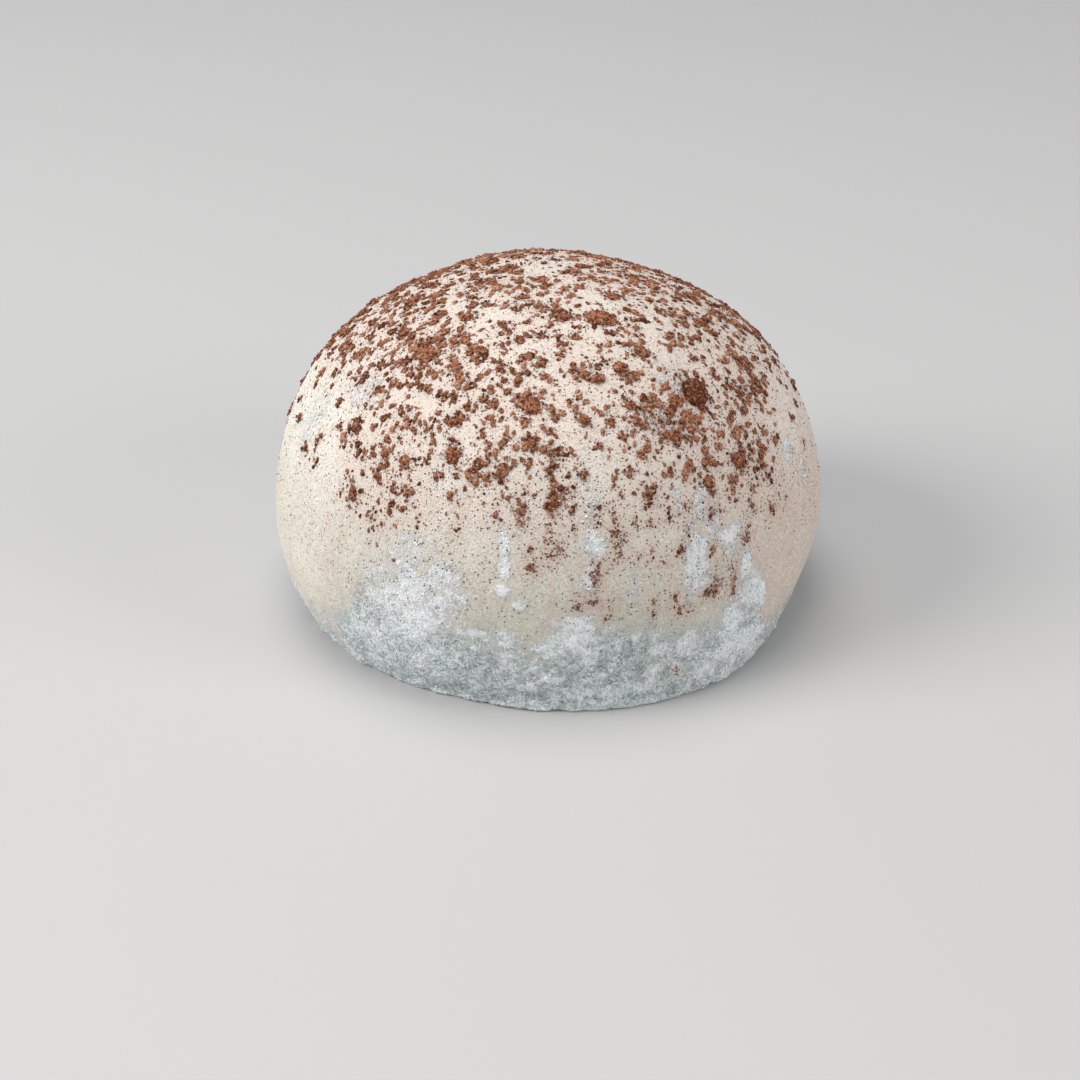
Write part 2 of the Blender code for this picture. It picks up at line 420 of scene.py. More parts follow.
def makeStudio():
    rise = math.radians(studio["viewRise"])
    place = Vector((0, -math.cos(rise), math.sin(rise))) * studio["viewDistance"]
    camera = bpy.data.objects.new("camera", bpy.data.cameras.new("camera"))
    camera.location = place
    camera.rotation_euler = (studio["aimPoint"] - place).to_track_quat("-Z", "Y").to_euler()
    camera.data.lens = studio["lens"]
    camera.data.sensor_width = studio["sensor"]
    camera.data.clip_start = studio["nearest"]
    scene.collection.objects.link(camera)
    scene.camera = camera

    for name, place, size, watts, color in studio["lights"]:
        light = bpy.data.lights.new(name, "AREA")
        light.shape = "DISK"
        light.size = size
        light.energy = watts
        light.color = color
        lamp = bpy.data.objects.new(name, light)
        lamp.location = place
        lamp.rotation_euler = (studio["lightAim"] - Vector(place)).to_track_quat("-Z", "Y").to_euler()
        scene.collection.objects.link(lamp)

    world = bpy.data.worlds.new("studio air")
    world.use_nodes = True
    air = world.node_tree.nodes["Background"]
    air.inputs["Color"].default_value = (*studio["skyColor"], 1)
    air.inputs["Strength"].default_value = studio["skyStrength"]
    scene.world = world
    scene.view_settings.view_transform = "Standard"

    freeHands()
    bpy.ops.mesh.primitive_plane_add(size=studio["floorSize"], location=(0, 0, 0))
    floor = bpy.context.object
    floor.name = "floor"
    material, _, shader, _ = newMaterial("pale floor", 0.55)
    shader.inputs["Base Color"].default_value = (*studio["floorColor"], 1)
    floor.data.materials.append(material)


makeStudio()
print("camera, lights and floor set")


# the large clumps of cocoa that the solid carries
dusting = {
    "mainClumps": [  # azimuth, rise, length, width, height, turn from the downhill line
        (-44.5, 46, 3.1 * mm, 2.8 * mm, 1.10 * mm, 0),
        (-57, 72, 2.8 * mm, 2.3 * mm, 0.75 * mm, 80),
        (-136, 57.5, 3.8 * mm, 2.6 * mm, 0.65 * mm, 60),
        (-94, 49.5, 2.8 * mm, 2.4 * mm, 0.65 * mm, 20),
        (143, 82, 3.8 * mm, 2.2 * mm, 0.60 * mm, 70),
        (-112.5, 36, 2.7 * mm, 1.8 * mm, 0.60 * mm, 30),
        (-114, 44, 2.8 * mm, 1.3 * mm, 0.55 * mm, -50),
        (-57.5, 38.5, 3.4 * mm, 1.5 * mm, 0.55 * mm, 65),
        (-41.5, 28, 3.0 * mm, 1.8 * mm, 0.60 * mm, 70),
        (-52, 26, 2.2 * mm, 1.5 * mm, 0.55 * mm, 40),
        (-135, 21.5, 2.3 * mm, 1.6 * mm, 0.60 * mm, 10),
        (-100, 34, 2.2 * mm, 1.5 * mm, 0.55 * mm, -20),
        (-176, 64, 2.8 * mm, 1.8 * mm, 0.55 * mm, 60),
        (-154.5, 59, 2.8 * mm, 1.7 * mm, 0.55 * mm, 85),
        (-64, 57, 2.1 * mm, 1.6 * mm, 0.55 * mm, 15),
        (-88.5, 28, 2.8 * mm, 1.0 * mm, 0.50 * mm, 0),
        (-18.5, 46, 2.7 * mm, 1.3 * mm, 0.50 * mm, 10),
        (-27.5, 76, 2.4 * mm, 1.8 * mm, 0.55 * mm, 45),
        (-77.5, 74, 2.4 * mm, 1.7 * mm, 0.55 * mm, -70),
        (-51.5, 59.5, 2.2 * mm, 1.6 * mm, 0.55 * mm, 30),
    ],
    "strewnClumps": 160,
    "strewnSeed": 41,
    "largest": 1.9 * mm,
    "smallest": 1.0 * mm,
    "gap": 0.55 * mm,
    "dustedRise": 18,
    "fullRise": 40,
    "dustSide": 150,
    "dustLean": 0.35,
    "mostDraws": 6000,
    "stretch": (0.6, 0.95),  # width to length
    "heightShare": 0.34,  # height to length
}


def dustCover(azimuth, rise):
    d = dusting
    settled = softStep(math.radians(d["dustedRise"]), math.radians(d["fullRise"]), rise)
    return settled * (1 - d["dustLean"] * farShare(azimuth, d["dustSide"]) * math.cos(rise))


def strewClumps():
    # the same draws as the solid's own clumps, so both lie in the same places
    d = dusting
    draw = random.Random(d["strewnSeed"])
    taken = []
    for azimuth, rise, length, *_ in d["mainClumps"]:
        taken.append((skinSpot(azimuth, rise), length / 2))
    strewn = []
    for _ in range(d["mostDraws"]):
        if len(strewn) == d["strewnClumps"]:
            break
        azimuth = draw.uniform(-180, 180)
        rise = math.degrees(math.asin(draw.uniform(math.sin(math.radians(d["dustedRise"])), 1)))
        chance = draw.random()
        stretch = draw.uniform(*d["stretch"])
        turn = draw.uniform(-90, 90)
        if chance > dustCover(math.radians(azimuth), math.radians(rise)):
            continue
        done = len(strewn) / d["strewnClumps"]
        length = d["largest"] + (d["smallest"] - d["largest"]) * math.sqrt(done)
        place = skinSpot(azimuth, rise)
        if any((place - other).length < length / 2 + reach + d["gap"] for other, reach in taken):
            continue
        taken.append((place, length / 2))
        strewn.append((azimuth, rise, length, length * stretch, length * d["heightShare"], turn))
    return strewn


allClumps = dusting["mainClumps"] + strewClumps()
print("places of", len(allClumps), "large clumps worked out")


# the skin: a ball shaped ring by ring, then subdivided and roughened
skin = {
    "segments": 64,
    "rings": 40,
    "levels": 2,
    "fineBelow": 17.0 * mm,  # the floured flank gets a finer mesh up to here
    "unevenness": ("unevenSkin", 6.0 * mm, 2, 0.10 * mm),  # texture, size, depth, strength
    "pores": ("skinPores", 0.9 * mm, 2, 0.022 * mm),
    "cake": ("cakedStarch", 2.2 * mm, 3, 0.55 * mm),
    "crust": ("starchCrust", 0.7 * mm, 3, 0.40 * mm),
    "grip": 0.8 * mm,  # the roughening grows from nothing at the floor to full at this height
    "caking": (0.25, 0.8),  # cover at which the starch starts to stand out, and stands out in full
    "cakingShares": (0.6, 0.5),  # of the film and of the whiteness in that cover
    "ledge": {
        "reach": 0.34 * mm,
        "top": 1.2 * mm,
        "inside": 19.8 * mm,
        "even": 0.35,
        "waves": 1.6 * mm,
        "ripples": (0.5 * mm, 0.6),  # size, share
        "deepest": -0.2,
    },
    "underside": -0.97,  # faces that look down more than this keep their size
}


def selectRing(piece, indices):
    bpy.ops.mesh.select_all(action="DESELECT")
    form = bmesh.from_edit_mesh(piece.data)
    form.verts.ensure_lookup_table()
    for index in indices:
        form.verts[index].select_set(True)
    bmesh.update_edit_mesh(piece.data)


def shapeSkin():
    freeHands()
    bpy.ops.mesh.primitive_uv_sphere_add(segments=skin["segments"], ring_count=skin["rings"], radius=1)
    piece = bpy.context.object
    piece.name = piece.data.name = "mochiSkin"
    azimuths, rises, rings = [], [], {}
    for vertex in piece.data.vertices:
        azimuths.append(math.atan2(vertex.co.y, vertex.co.x))
        rises.append(math.asin(min(max(vertex.co.z, -1), 1)))
        rings.setdefault(round(math.degrees(rises[-1]), 2), []).append(vertex.index)

    bpy.ops.object.mode_set(mode="EDIT")
    for indices in rings.values():
        rise = rises[indices[0]]
        radius, level, lean = plainRing(rise)
        selectRing(piece, indices)
        if len(indices) > 1:
            widen = radius / math.cos(rise)
            bpy.ops.transform.resize(value=(widen, widen, 1))
        bpy.ops.transform.translate(value=(lean.x, lean.y, level - math.sin(rise)))
    bpy.ops.object.mode_set(mode="OBJECT")

    # out of round, with the hollows, swells and the lip at the foot
    for vertex, azimuth, rise in zip(piece.data.vertices, azimuths, rises):
        vertex.co += skinPush(azimuth, rise, vertex.co.z)

    smooth = piece.modifiers.new("smooth", "SUBSURF")
    smooth.levels = smooth.render_levels = skin["levels"]
    applyModifier(piece, smooth)

    # finer faces where the starch is caked
    bpy.ops.object.mode_set(mode="EDIT")
    bpy.ops.mesh.select_all(action="DESELECT")
    bpy.ops.mesh.select_mode(type="FACE")
    form = bmesh.from_edit_mesh(piece.data)
    for face in form.faces:
        if face.calc_center_median().z < skin["fineBelow"] and face.normal.z > skin["underside"]:
            face.select_set(True)
    bmesh.update_edit_mesh(piece.data)
    bpy.ops.mesh.subdivide(number_cuts=1)
    bpy.ops.mesh.select_mode(type="VERT")
    bpy.ops.object.mode_set(mode="OBJECT")
    return piece


mochiSkin = shapeSkin()
print("skin shaped,", len(mochiSkin.data.polygons), "faces")


# starch: a grey film round the foot with a ragged top, and white patches and runs of loose powder
flouring = {
    "bandTops": [  # azimuth and height in mm of the film's upper edge
        (-180, 6.0), (-160, 4.6), (-144, 4.0), (-136, 6.5), (-129, 11.0), (-118, 11.5), (-108, 8.8),
        (-98, 7.8), (-90, 8.2), (-82, 9.4), (-74, 7.8), (-64, 7.4), (-57, 6.4), (-48, 7.4), (-41, 8.0),
        (-35, 3.6), (-15, 3.2), (12, 6.5), (40, 9.5), (70, 6.5), (100, 9.0), (132, 11.5), (158, 7.5),
    ],
    "bandFade": 8.5 * mm,  # from bare to caked
    "tongueSize": (2.2 * mm, 6.5 * mm, 3.0 * mm),  # width, length, how far they reach past the edge
    "band": 0.92,
    "patches": [  # azimuth, level, half width, half height in mm, film, whiteness
        (-81.5, 17.2, 0.39, 0.47, 0.90, 0.95), (-80.0, 16.1, 0.81, 0.87, 0.70, 0.72),
        (-81.5, 13.5, 0.61, 1.13, 0.85, 0.90), (-61.5, 19.4, 0.38, 0.44, 0.85, 0.90),
        (-61.5, 18.0, 0.25, 0.60, 0.85, 0.90), (-55.0, 18.7, 0.79, 0.42, 0.90, 1.00),
        (-56.5, 17.6, 0.60, 0.64, 0.60, 0.60), (-58.0, 12.9, 1.25, 2.97, 0.66, 0.62),
        (-49.0, 14.5, 1.47, 0.70, 0.70, 0.70), (-44.5, 10.9, 0.63, 1.24, 0.72, 0.72),
        (-43.0, 8.1, 1.65, 1.46, 0.65, 0.60), (-39.5, 7.3, 0.41, 1.19, 0.85, 0.95),
        (-48.5, 6.1, 1.02, 1.47, 0.92, 1.00), (-45.5, 3.2, 2.58, 0.99, 0.85, 0.80),
        (-84.0, 8.5, 1.03, 1.56, 0.88, 0.88), (-81.5, 6.1, 0.82, 0.79, 0.70, 0.60),
        (-67.0, 5.6, 0.82, 0.62, 0.78, 0.72), (-60.0, 5.8, 1.02, 1.03, 0.70, 0.55),
        (-24.0, 18.3, 1.06, 1.00, 0.42, 0.45), (-19.5, 15.5, 0.64, 0.98, 0.38, 0.42),
        (-83.5, 22.1, 0.53, 0.86, 0.30, 0.30), (-80.5, 20.4, 0.74, 0.92, 0.35, 0.32),
        (-72.0, 7.4, 0.41, 0.48, 0.60, 0.50), (-99.0, 16.5, 0.40, 1.05, 0.85, 0.85),
        (-99.0, 14.5, 0.41, 1.31, 0.80, 0.80), (-99.0, 12.4, 0.62, 0.64, 0.75, 0.75),
        (-95.5, 11.1, 0.62, 0.56, 0.55, 0.50), (-105.5, 8.0, 1.26, 0.37, 0.75, 0.70),
        (-98.5, 7.7, 0.63, 0.70, 0.75, 0.60), (-111.5, 11.8, 1.90, 2.80, 0.52, 0.54),
        (-118.0, 9.8, 2.35, 3.70, 0.58, 0.58), (-124.0, 12.0, 1.71, 1.30, 0.55, 0.36),
        (-117.0, 4.9, 3.70, 2.37, 0.75, 0.34), (-129.0, 4.8, 2.06, 1.74, 0.75, 0.42),
        (-90.5, 6.8, 1.03, 0.81, 0.70, 0.45), (-55.5, 1.9, 1.59, 0.96, 0.75, 0.50),
        (-74.5, 2.0, 3.58, 0.57, 0.80, 0.55), (-158, 20.5, 1.8, 3.0, 0.28, 0.30),
        (-145, 24.8, 1.6, 1.3, 0.34, 0.40), (-62, 24.6, 2.2, 1.0, 0.34, 0.40),
        (-52, 26.5, 1.4, 1.0, 0.34, 0.42), (-53.5, 16.3, 1.2, 1.9, 0.40, 0.37),
        (-48.0, 12.9, 1.3, 1.6, 0.42, 0.37), (-54.0, 10.9, 1.4, 1.8, 0.42, 0.36),
        (-119, 14.3, 2.4, 1.8, 0.42, 0.36), (-81.5, 19.0, 0.9, 1.5, 0.34, 0.34),
        (-72, 12.6, 0.7, 2.2, 0.34, 0.34),
    ],
    "hiddenSeed": 12,
    "hiddenSide": (-8, 190),  # its azimuths
    "hiddenRuns": {
        "count": 15,
        "levels": (6, 18),
        "widths": (0.35, 1.0),
        "strengths": (0.6, 0.95),
        "links": (2, 4),  # patches in a run
        "longer": (1.2, 2.2),
        "whiteness": (0.6, 1.0),
        "sway": 2.5,  # in degrees, from one patch to the next
        "steps": (0.8, 1.4),
    },
    "hiddenDrifts": {
        "count": 16,
        "levels": (3, 9),
        "strengths": (0.6, 0.8),
        "widths": (1.6, 3.4),
        "heights": (1.4, 2.8),
        "whiteness": 0.7,
    },
    "broken": (1.2 * mm, 1.6 * mm),  # width and height of the powder's clouds
    "bandWhite": (0.16, 0.85),  # whiteness in the band, even and in clouds
    "patchRagged": 0.4,
    "patchFull": 0.5,  # share of a patch's size that is covered in full
    "patchFade": 0.75,
    "patchReach": 2.2,
    "whiter": 1.28,
    "whitest": 1.1,
    "footEdge": 0.52 * mm,  # how far up the white rim at the foot reaches
    "footWhite": (0.72, 1.2, 1.6 * mm),  # its whiteness, even and in waves, and their size
}


def bandTop(azimuth):
    return valueAround(flouring["bandTops"], azimuth) * mm


def allPatches():
    # those named, and for the far side runs of them and wide drifts at the foot
    draw = random.Random(flouring["hiddenSeed"])
    side, runs, drifts = [flouring[name] for name in ("hiddenSide", "hiddenRuns", "hiddenDrifts")]
    patches = list(flouring["patches"])
    for _ in range(runs["count"]):
        azimuth, level = draw.uniform(*side), draw.uniform(*runs["levels"])
        wide, strength = draw.uniform(*runs["widths"]), draw.uniform(*runs["strengths"])
        for _ in range(draw.randint(*runs["links"])):
            tall = wide * draw.uniform(*runs["longer"])
            whiteness = strength * draw.uniform(*runs["whiteness"])
            patches.append((azimuth, level, wide, tall, strength, whiteness))
            azimuth += draw.uniform(-runs["sway"], runs["sway"])
            level = max(level - tall * draw.uniform(*runs["steps"]), 1)
            wide *= draw.uniform(*runs["steps"])
    for _ in range(drifts["count"]):
        azimuth, level = draw.uniform(*side), draw.uniform(*drifts["levels"])
        strength = draw.uniform(*drifts["strengths"])
        wide, tall = draw.uniform(*drifts["widths"]), draw.uniform(*drifts["heights"])
        patches.append((azimuth, level, wide, tall, strength, strength * drifts["whiteness"]))
    return patches


starchPatches = allPatches()


def starchAt(point):
    # film from 0 to 1 and whiteness from 0 to 1 at a point of the skin
    f = flouring
    azimuth = math.atan2(point.y, point.x)
    out = math.hypot(point.x, point.y)
    width, length, reach = f["tongueSize"]
    edge = bandTop(azimuth) + reach * noise.fractal(drawnOut(point, width, length), 0.9, 2.0, 3)
    film = f["band"] * softStep(-0.5, 0.5, (edge - point.z) / f["bandFade"])
    broken = noise.fractal(drawnOut(point, *f["broken"]), 0.7, 2.0, 3)
    even, clouds = f["bandWhite"]
    white = film * max(even + clouds * broken, 0)
    for patchAzimuth, level, halfWidth, halfHeight, strength, whiteness in starchPatches:
        turn = (azimuth - math.radians(patchAzimuth) + math.pi) % (2 * math.pi) - math.pi
        aside = turn * out / (halfWidth * mm)
        above = (point.z - level * mm) / (halfHeight * mm)
        apart = math.hypot(aside, above)
        if apart < f["patchReach"]:
            here = bell(max(apart * (1 + f["patchRagged"] * broken) - f["patchFull"], 0), f["patchFade"])
            film = max(film, strength * here)
            white = max(white, min(f["whiter"] * whiteness, f["whitest"]) * here)
    even, waves, waveSize = f["footWhite"]
    rim = bell(point.z, f["footEdge"]) * (even + waves * noise.noise(point / waveSize))
    return film, min(max(white, rim), 1)


def roughen(piece, settings, group):
    name, size, depth, strength = settings
    texture = bpy.data.textures.new(name, "CLOUDS")
    texture.noise_scale = size
    texture.noise_depth = depth
    push = piece.modifiers.new(name, "DISPLACE")
    push.texture = texture
    push.texture_coords = "LOCAL"
    push.mid_level = 0.5
    push.strength = strength
    push.vertex_group = group
    applyModifier(piece, push)


def writeAttribute(piece, name, values):
    attribute = piece.data.attributes.new(name, "FLOAT", "POINT")
    attribute.data.foreach_set("value", np.asarray(values, np.float32))


def flourSkin(piece):
    films, whites = zip(*[starchAt(vertex.co) for vertex in piece.data.vertices])
    writeAttribute(piece, "starch", films)
    writeAttribute(piece, "white", whites)
    caked = piece.vertex_groups.new(name="caked")
    bare = piece.vertex_groups.new(name="bare")
    filmShare, whiteShare = skin["cakingShares"]
    for vertex, film, white in zip(piece.data.vertices, films, whites):
        standing = softStep(0, skin["grip"], vertex.co.z)
        thick = softStep(*skin["caking"], filmShare * film + whiteShare * white)
        caked.add([vertex.index], thick * standing, "REPLACE")
        bare.add([vertex.index], standing, "REPLACE")


def ragFoot(piece):
    # the starch stands out at the very foot in a thin wavy ledge
    ledge = skin["ledge"]
    for vertex in piece.data.vertices:
        place = vertex.co
        outward = Vector((place.x, place.y, 0))
        if place.z > ledge["top"] or outward.length < ledge["inside"]:
            continue
        rippleSize, rippleShare = ledge["ripples"]
        wave = noise.noise(place / ledge["waves"]) + rippleShare * noise.noise(place / rippleSize)
        share = softStep(ledge["top"], 0, place.z) * max(ledge["even"] + wave, ledge["deepest"])
        vertex.co += outward.normalized() * ledge["reach"] * share


flourSkin(mochiSkin)
ragFoot(mochiSkin)
roughen(mochiSkin, skin["unevenness"], "bare")
roughen(mochiSkin, skin["pores"], "bare")
roughen(mochiSkin, skin["cake"], "caked")
roughen(mochiSkin, skin["crust"], "caked")
for vertex in mochiSkin.data.vertices:
    vertex.co.z = max(vertex.co.z, 0)
mochiSkin.data.shade_smooth()
print("skin floured and roughened")


# crumbs are modelled once in a few shapes, each a lump with smaller granules stuck to it,
# then copied in joined meshes: how many shapes, core (fineness, radius), granules (number, sizes),
# and the lumps' size and push
crumbShapes = {
    "core": {"count": 6, "core": (2, 0.80), "granules": (8, 0.16, 0.30), "lumps": (0.40, 0.26)},
    "fleck": {"count": 12, "core": (1, 0.70), "granules": (4, 0.30, 0.46), "lumps": (0.45, 0.42)},
    "crumb": {"count": 9, "core": (1, 0.70), "granules": (2, 0.36, 0.52), "lumps": (0.60, 0.50)},
    "mote": {"count": 5, "core": (0, 0.90), "granules": (0, 0.0, 0.0), "lumps": (0.80, 0.50)},
}
granuleSpots = {"innermost": 0.1, "outermost": 0.78, "rises": (-0.05, 0.42), "droop": 0.6}


def addSpindle(radius, place):
    # two four-sided pyramids base to base, the fewest faces that still look like a grain
    bpy.ops.mesh.primitive_cone_add(
        vertices=4, radius1=radius, depth=radius, end_fill_type="TRIFAN", location=place
    )
    bpy.ops.object.mode_set(mode="EDIT")
    bpy.ops.mesh.select_all(action="SELECT")
    bpy.ops.transform.translate(value=(0, 0, radius / 2))
    bpy.ops.mesh.select_all(action="DESELECT")
    form = bmesh.from_edit_mesh(bpy.context.object.data)
    for vertex in form.verts:
        onAxis = math.hypot(vertex.co.x, vertex.co.y) < radius / 10
        vertex.select_set(onAxis and vertex.co.z < radius / 10)
    bmesh.update_edit_mesh(bpy.context.object.data)
    bpy.ops.transform.translate(value=(0, 0, -radius))
    bpy.ops.object.mode_set(mode="OBJECT")


def modelCrumbs(name):
    settings = crumbShapes[name]
    granuleCount, *granuleSizes = settings["granules"]
    lumpSize, lumpPush = settings["lumps"]
    draw = random.Random(name)
    texture = bpy.data.textures.new(f"{name}Lumps", "CLOUDS")
    texture.noise_scale = lumpSize
    texture.noise_depth = 2
    shapes = []
    for number in range(settings["count"]):
        middle = Vector((number * 7.3, number * 2.1, 0))  # each stands elsewhere in the texture
        fineness, radius = settings["core"]
        freeHands()
        if fineness:
            bpy.ops.mesh.primitive_ico_sphere_add(subdivisions=fineness, radius=radius, location=middle)
        else:
            addSpindle(radius, middle)
        crumb = bpy.context.object
        granules = []
        for _ in range(granuleCount):
            reach = math.sqrt(draw.uniform(granuleSpots["innermost"], 1)) * granuleSpots["outermost"]
            around = draw.uniform(0, 2 * math.pi)
            rise = draw.uniform(*granuleSpots["rises"]) * (1 - granuleSpots["droop"] * reach)
            place = middle + Vector((reach * math.cos(around), reach * math.sin(around), rise))
            size = draw.uniform(*granuleSizes)
            bpy.ops.mesh.primitive_ico_sphere_add(subdivisions=1, radius=size, location=place)
            granules.append(bpy.context.object)
        pickUp(crumb)
        for granule in granules:
            granule.select_set(True)
        if granules:
            bpy.ops.object.join()

        push = crumb.modifiers.new("lumps", "DISPLACE")
        push.texture = texture
        push.texture_coords = "GLOBAL"
        push.strength = lumpPush
        bpy.context.view_layer.update()
        applyModifier(crumb, push)
        crumb.data.calc_loop_triangles()
        points = np.array([vertex.co[:] for vertex in crumb.data.vertices])
        points /= np.hypot(points[:, 0], points[:, 1]).max()
        faces = np.array([triangle.vertices[:] for triangle in crumb.data.loop_triangles])
        shapes.append((points, faces))
        bpy.data.objects.remove(crumb, do_unlink=True)
    return shapes


def joinCopies(name, shapes, places):
    # places holds, for each copy, its shape's number, a 3x3 matrix, its position and its tone
    points, faces, tones, start = [], [], [], 0
    for number, (shapePoints, shapeFaces) in enumerate(shapes):
        chosen = [place for place in places if place[0] == number]
        if not chosen:
            continue
        turns = np.array([place[1] for place in chosen])
        spots = np.array([place[2] for place in chosen])
        moved = np.einsum("nij,vj->nvi", turns, shapePoints) + spots[:, None, :]
        offsets = start + np.arange(len(chosen)) * len(shapePoints)
        points.append(moved.reshape(-1, 3))
        faces.append((shapeFaces[None] + offsets[:, None, None]).reshape(-1, 3))
        tones.append(np.repeat([place[3] for place in chosen], len(shapePoints)))
        start += len(chosen) * len(shapePoints)
    points, faces, tones = np.concatenate(points), np.concatenate(faces), np.concatenate(tones)
    points[:, 2] = np.maximum(points[:, 2], 0)  # nothing reaches below the floor
    mesh = bpy.data.meshes.new(name)
    mesh.from_pydata(points.tolist(), [], faces.tolist())
    piece = bpy.data.objects.new(name, mesh)
    writeAttribute(piece, "tone", tones)
    mesh.shade_smooth()
    scene.collection.objects.link(piece)
    print(name, "has", len(places), "pieces in", len(faces), "faces")
    return piece


bpy.context.view_layer.update()
skinTree = BVHTree.FromObject(mochiSkin, bpy.context.evaluated_depsgraph_get())


def onSkin(point):
    # the nearest place on the skin, with axes that run downhill, aside and straight out
    place, out, _, _ = skinTree.find_nearest(point)
    down = Vector((0, 0, -1)) - out * -out.z
    if down.length < 1e-4:
        down = Vector((1, 0, 0))
    down.normalize()
    side = out.cross(down)
    return place, down, side, out


def seat(point, shapes, size, flat, tone, draw, stretch=1.0, lift=0.0, downhill=0.0):
    # one copy half sunk in the skin, turned at random, or towards the fall line by the share downhill
    place, down, side, out = onSkin(point)
    angle = draw.uniform(-math.pi, math.pi) * (1 - downhill)
    along = down * math.cos(angle) + side * math.sin(angle)
    across = out.cross(along)
    half = size / 2
    axes = np.array([along * half * stretch, across * half / stretch, out * half * flat]).T
    return draw.randrange(len(shapes)), axes, np.array(place + out * (lift + 0.1 * half * flat)), tone


coreModels = modelCrumbs("core")
fleckModels = modelCrumbs("fleck")
crumbModels = modelCrumbs("crumb")
moteModels = modelCrumbs("mote")
print("crumb shapes modelled")


# the large clumps: each a low core with crumbs heaped on it
heaps = {
    "seed": 5,
    "coreShare": 0.76,
    "coreHeight": 0.62,
    "solid": 2,  # the first ones, the largest, have a full core
    "solidCore": (1.08, 0.92),
    "crumbSize": (0.24 * mm, 0.54 * mm),
    "crumbsPerArea": 0.80,  # how often the crumbs would cover the clump's plan
    "spill": 1.15,  # how far past the clump's edge its crumbs lie
    "tones": (0.42, 0.17),
    "darkTone": 0.06,  # of the first, largest clump
    "darkReach": 0.85,  # and how far out it is so dark
    "sink": 0.05 * mm,  # of the cores
    "pile": 0.50,  # how high the crumbs lie on the core, of its height
    "piling": (0.1, 0.9),
    "edgeShrink": 0.4,
    "flats": (0.6, 0.9),
    "stretch": (0.8, 1.3),
}


def heapClumps():
    h = heaps
    draw = random.Random(h["seed"])
    usualTone, toneSpread = h["tones"]
    cores, crumbPlaces = [], []
    for number, (azimuth, rise, length, width, height, turn) in enumerate(allClumps):
        middle = h["darkTone"] if number == 0 else usualTone
        place, down, side, out = onSkin(skinSpot(azimuth, rise))
        angle = math.radians(turn)
        along = down * math.cos(angle) + side * math.sin(angle)
        across = out.cross(along)
        core, coreHeight = h["solidCore"] if number < h["solid"] else (h["coreShare"], h["coreHeight"])
        half = Vector((length, width, 2 * height * coreHeight)) / 2
        axes = np.array([along * half.x * core, across * half.y * core, out * half.z]).T
        cores.append((draw.randrange(len(coreModels)), axes, np.array(place - out * h["sink"]), middle))
        low, high = h["crumbSize"]
        share = h["crumbsPerArea"] * length * width / ((low + high) / 2) ** 2
        for _ in range(round(share) + 2):
            reach = math.sqrt(draw.random()) * h["spill"]
            around = draw.uniform(0, 2 * math.pi)
            spot = place + along * (reach * math.cos(around) * length / 2)
            spot = spot + across * (reach * math.sin(around) * width / 2)
            size = draw.uniform(low, high) * (1 - h["edgeShrink"] * max(reach - 0.5, 0))
            dome = math.sqrt(max(1 - (reach / h["spill"]) ** 2, 0))
            lift = height * h["pile"] * dome * draw.uniform(*h["piling"])
            tone = draw.gauss(middle if reach < h["darkReach"] else usualTone, toneSpread)
            flat, stretch = draw.uniform(*h["flats"]), draw.uniform(*h["stretch"])
            crumbPlaces.append(seat(spot, crumbModels, size, flat, tone, draw, stretch, lift))
    return joinCopies("cocoaCores", coreModels, cores), joinCopies("cocoaHeaps", crumbModels, crumbPlaces)


cocoaCores, cocoaHeaps = heapClumps()


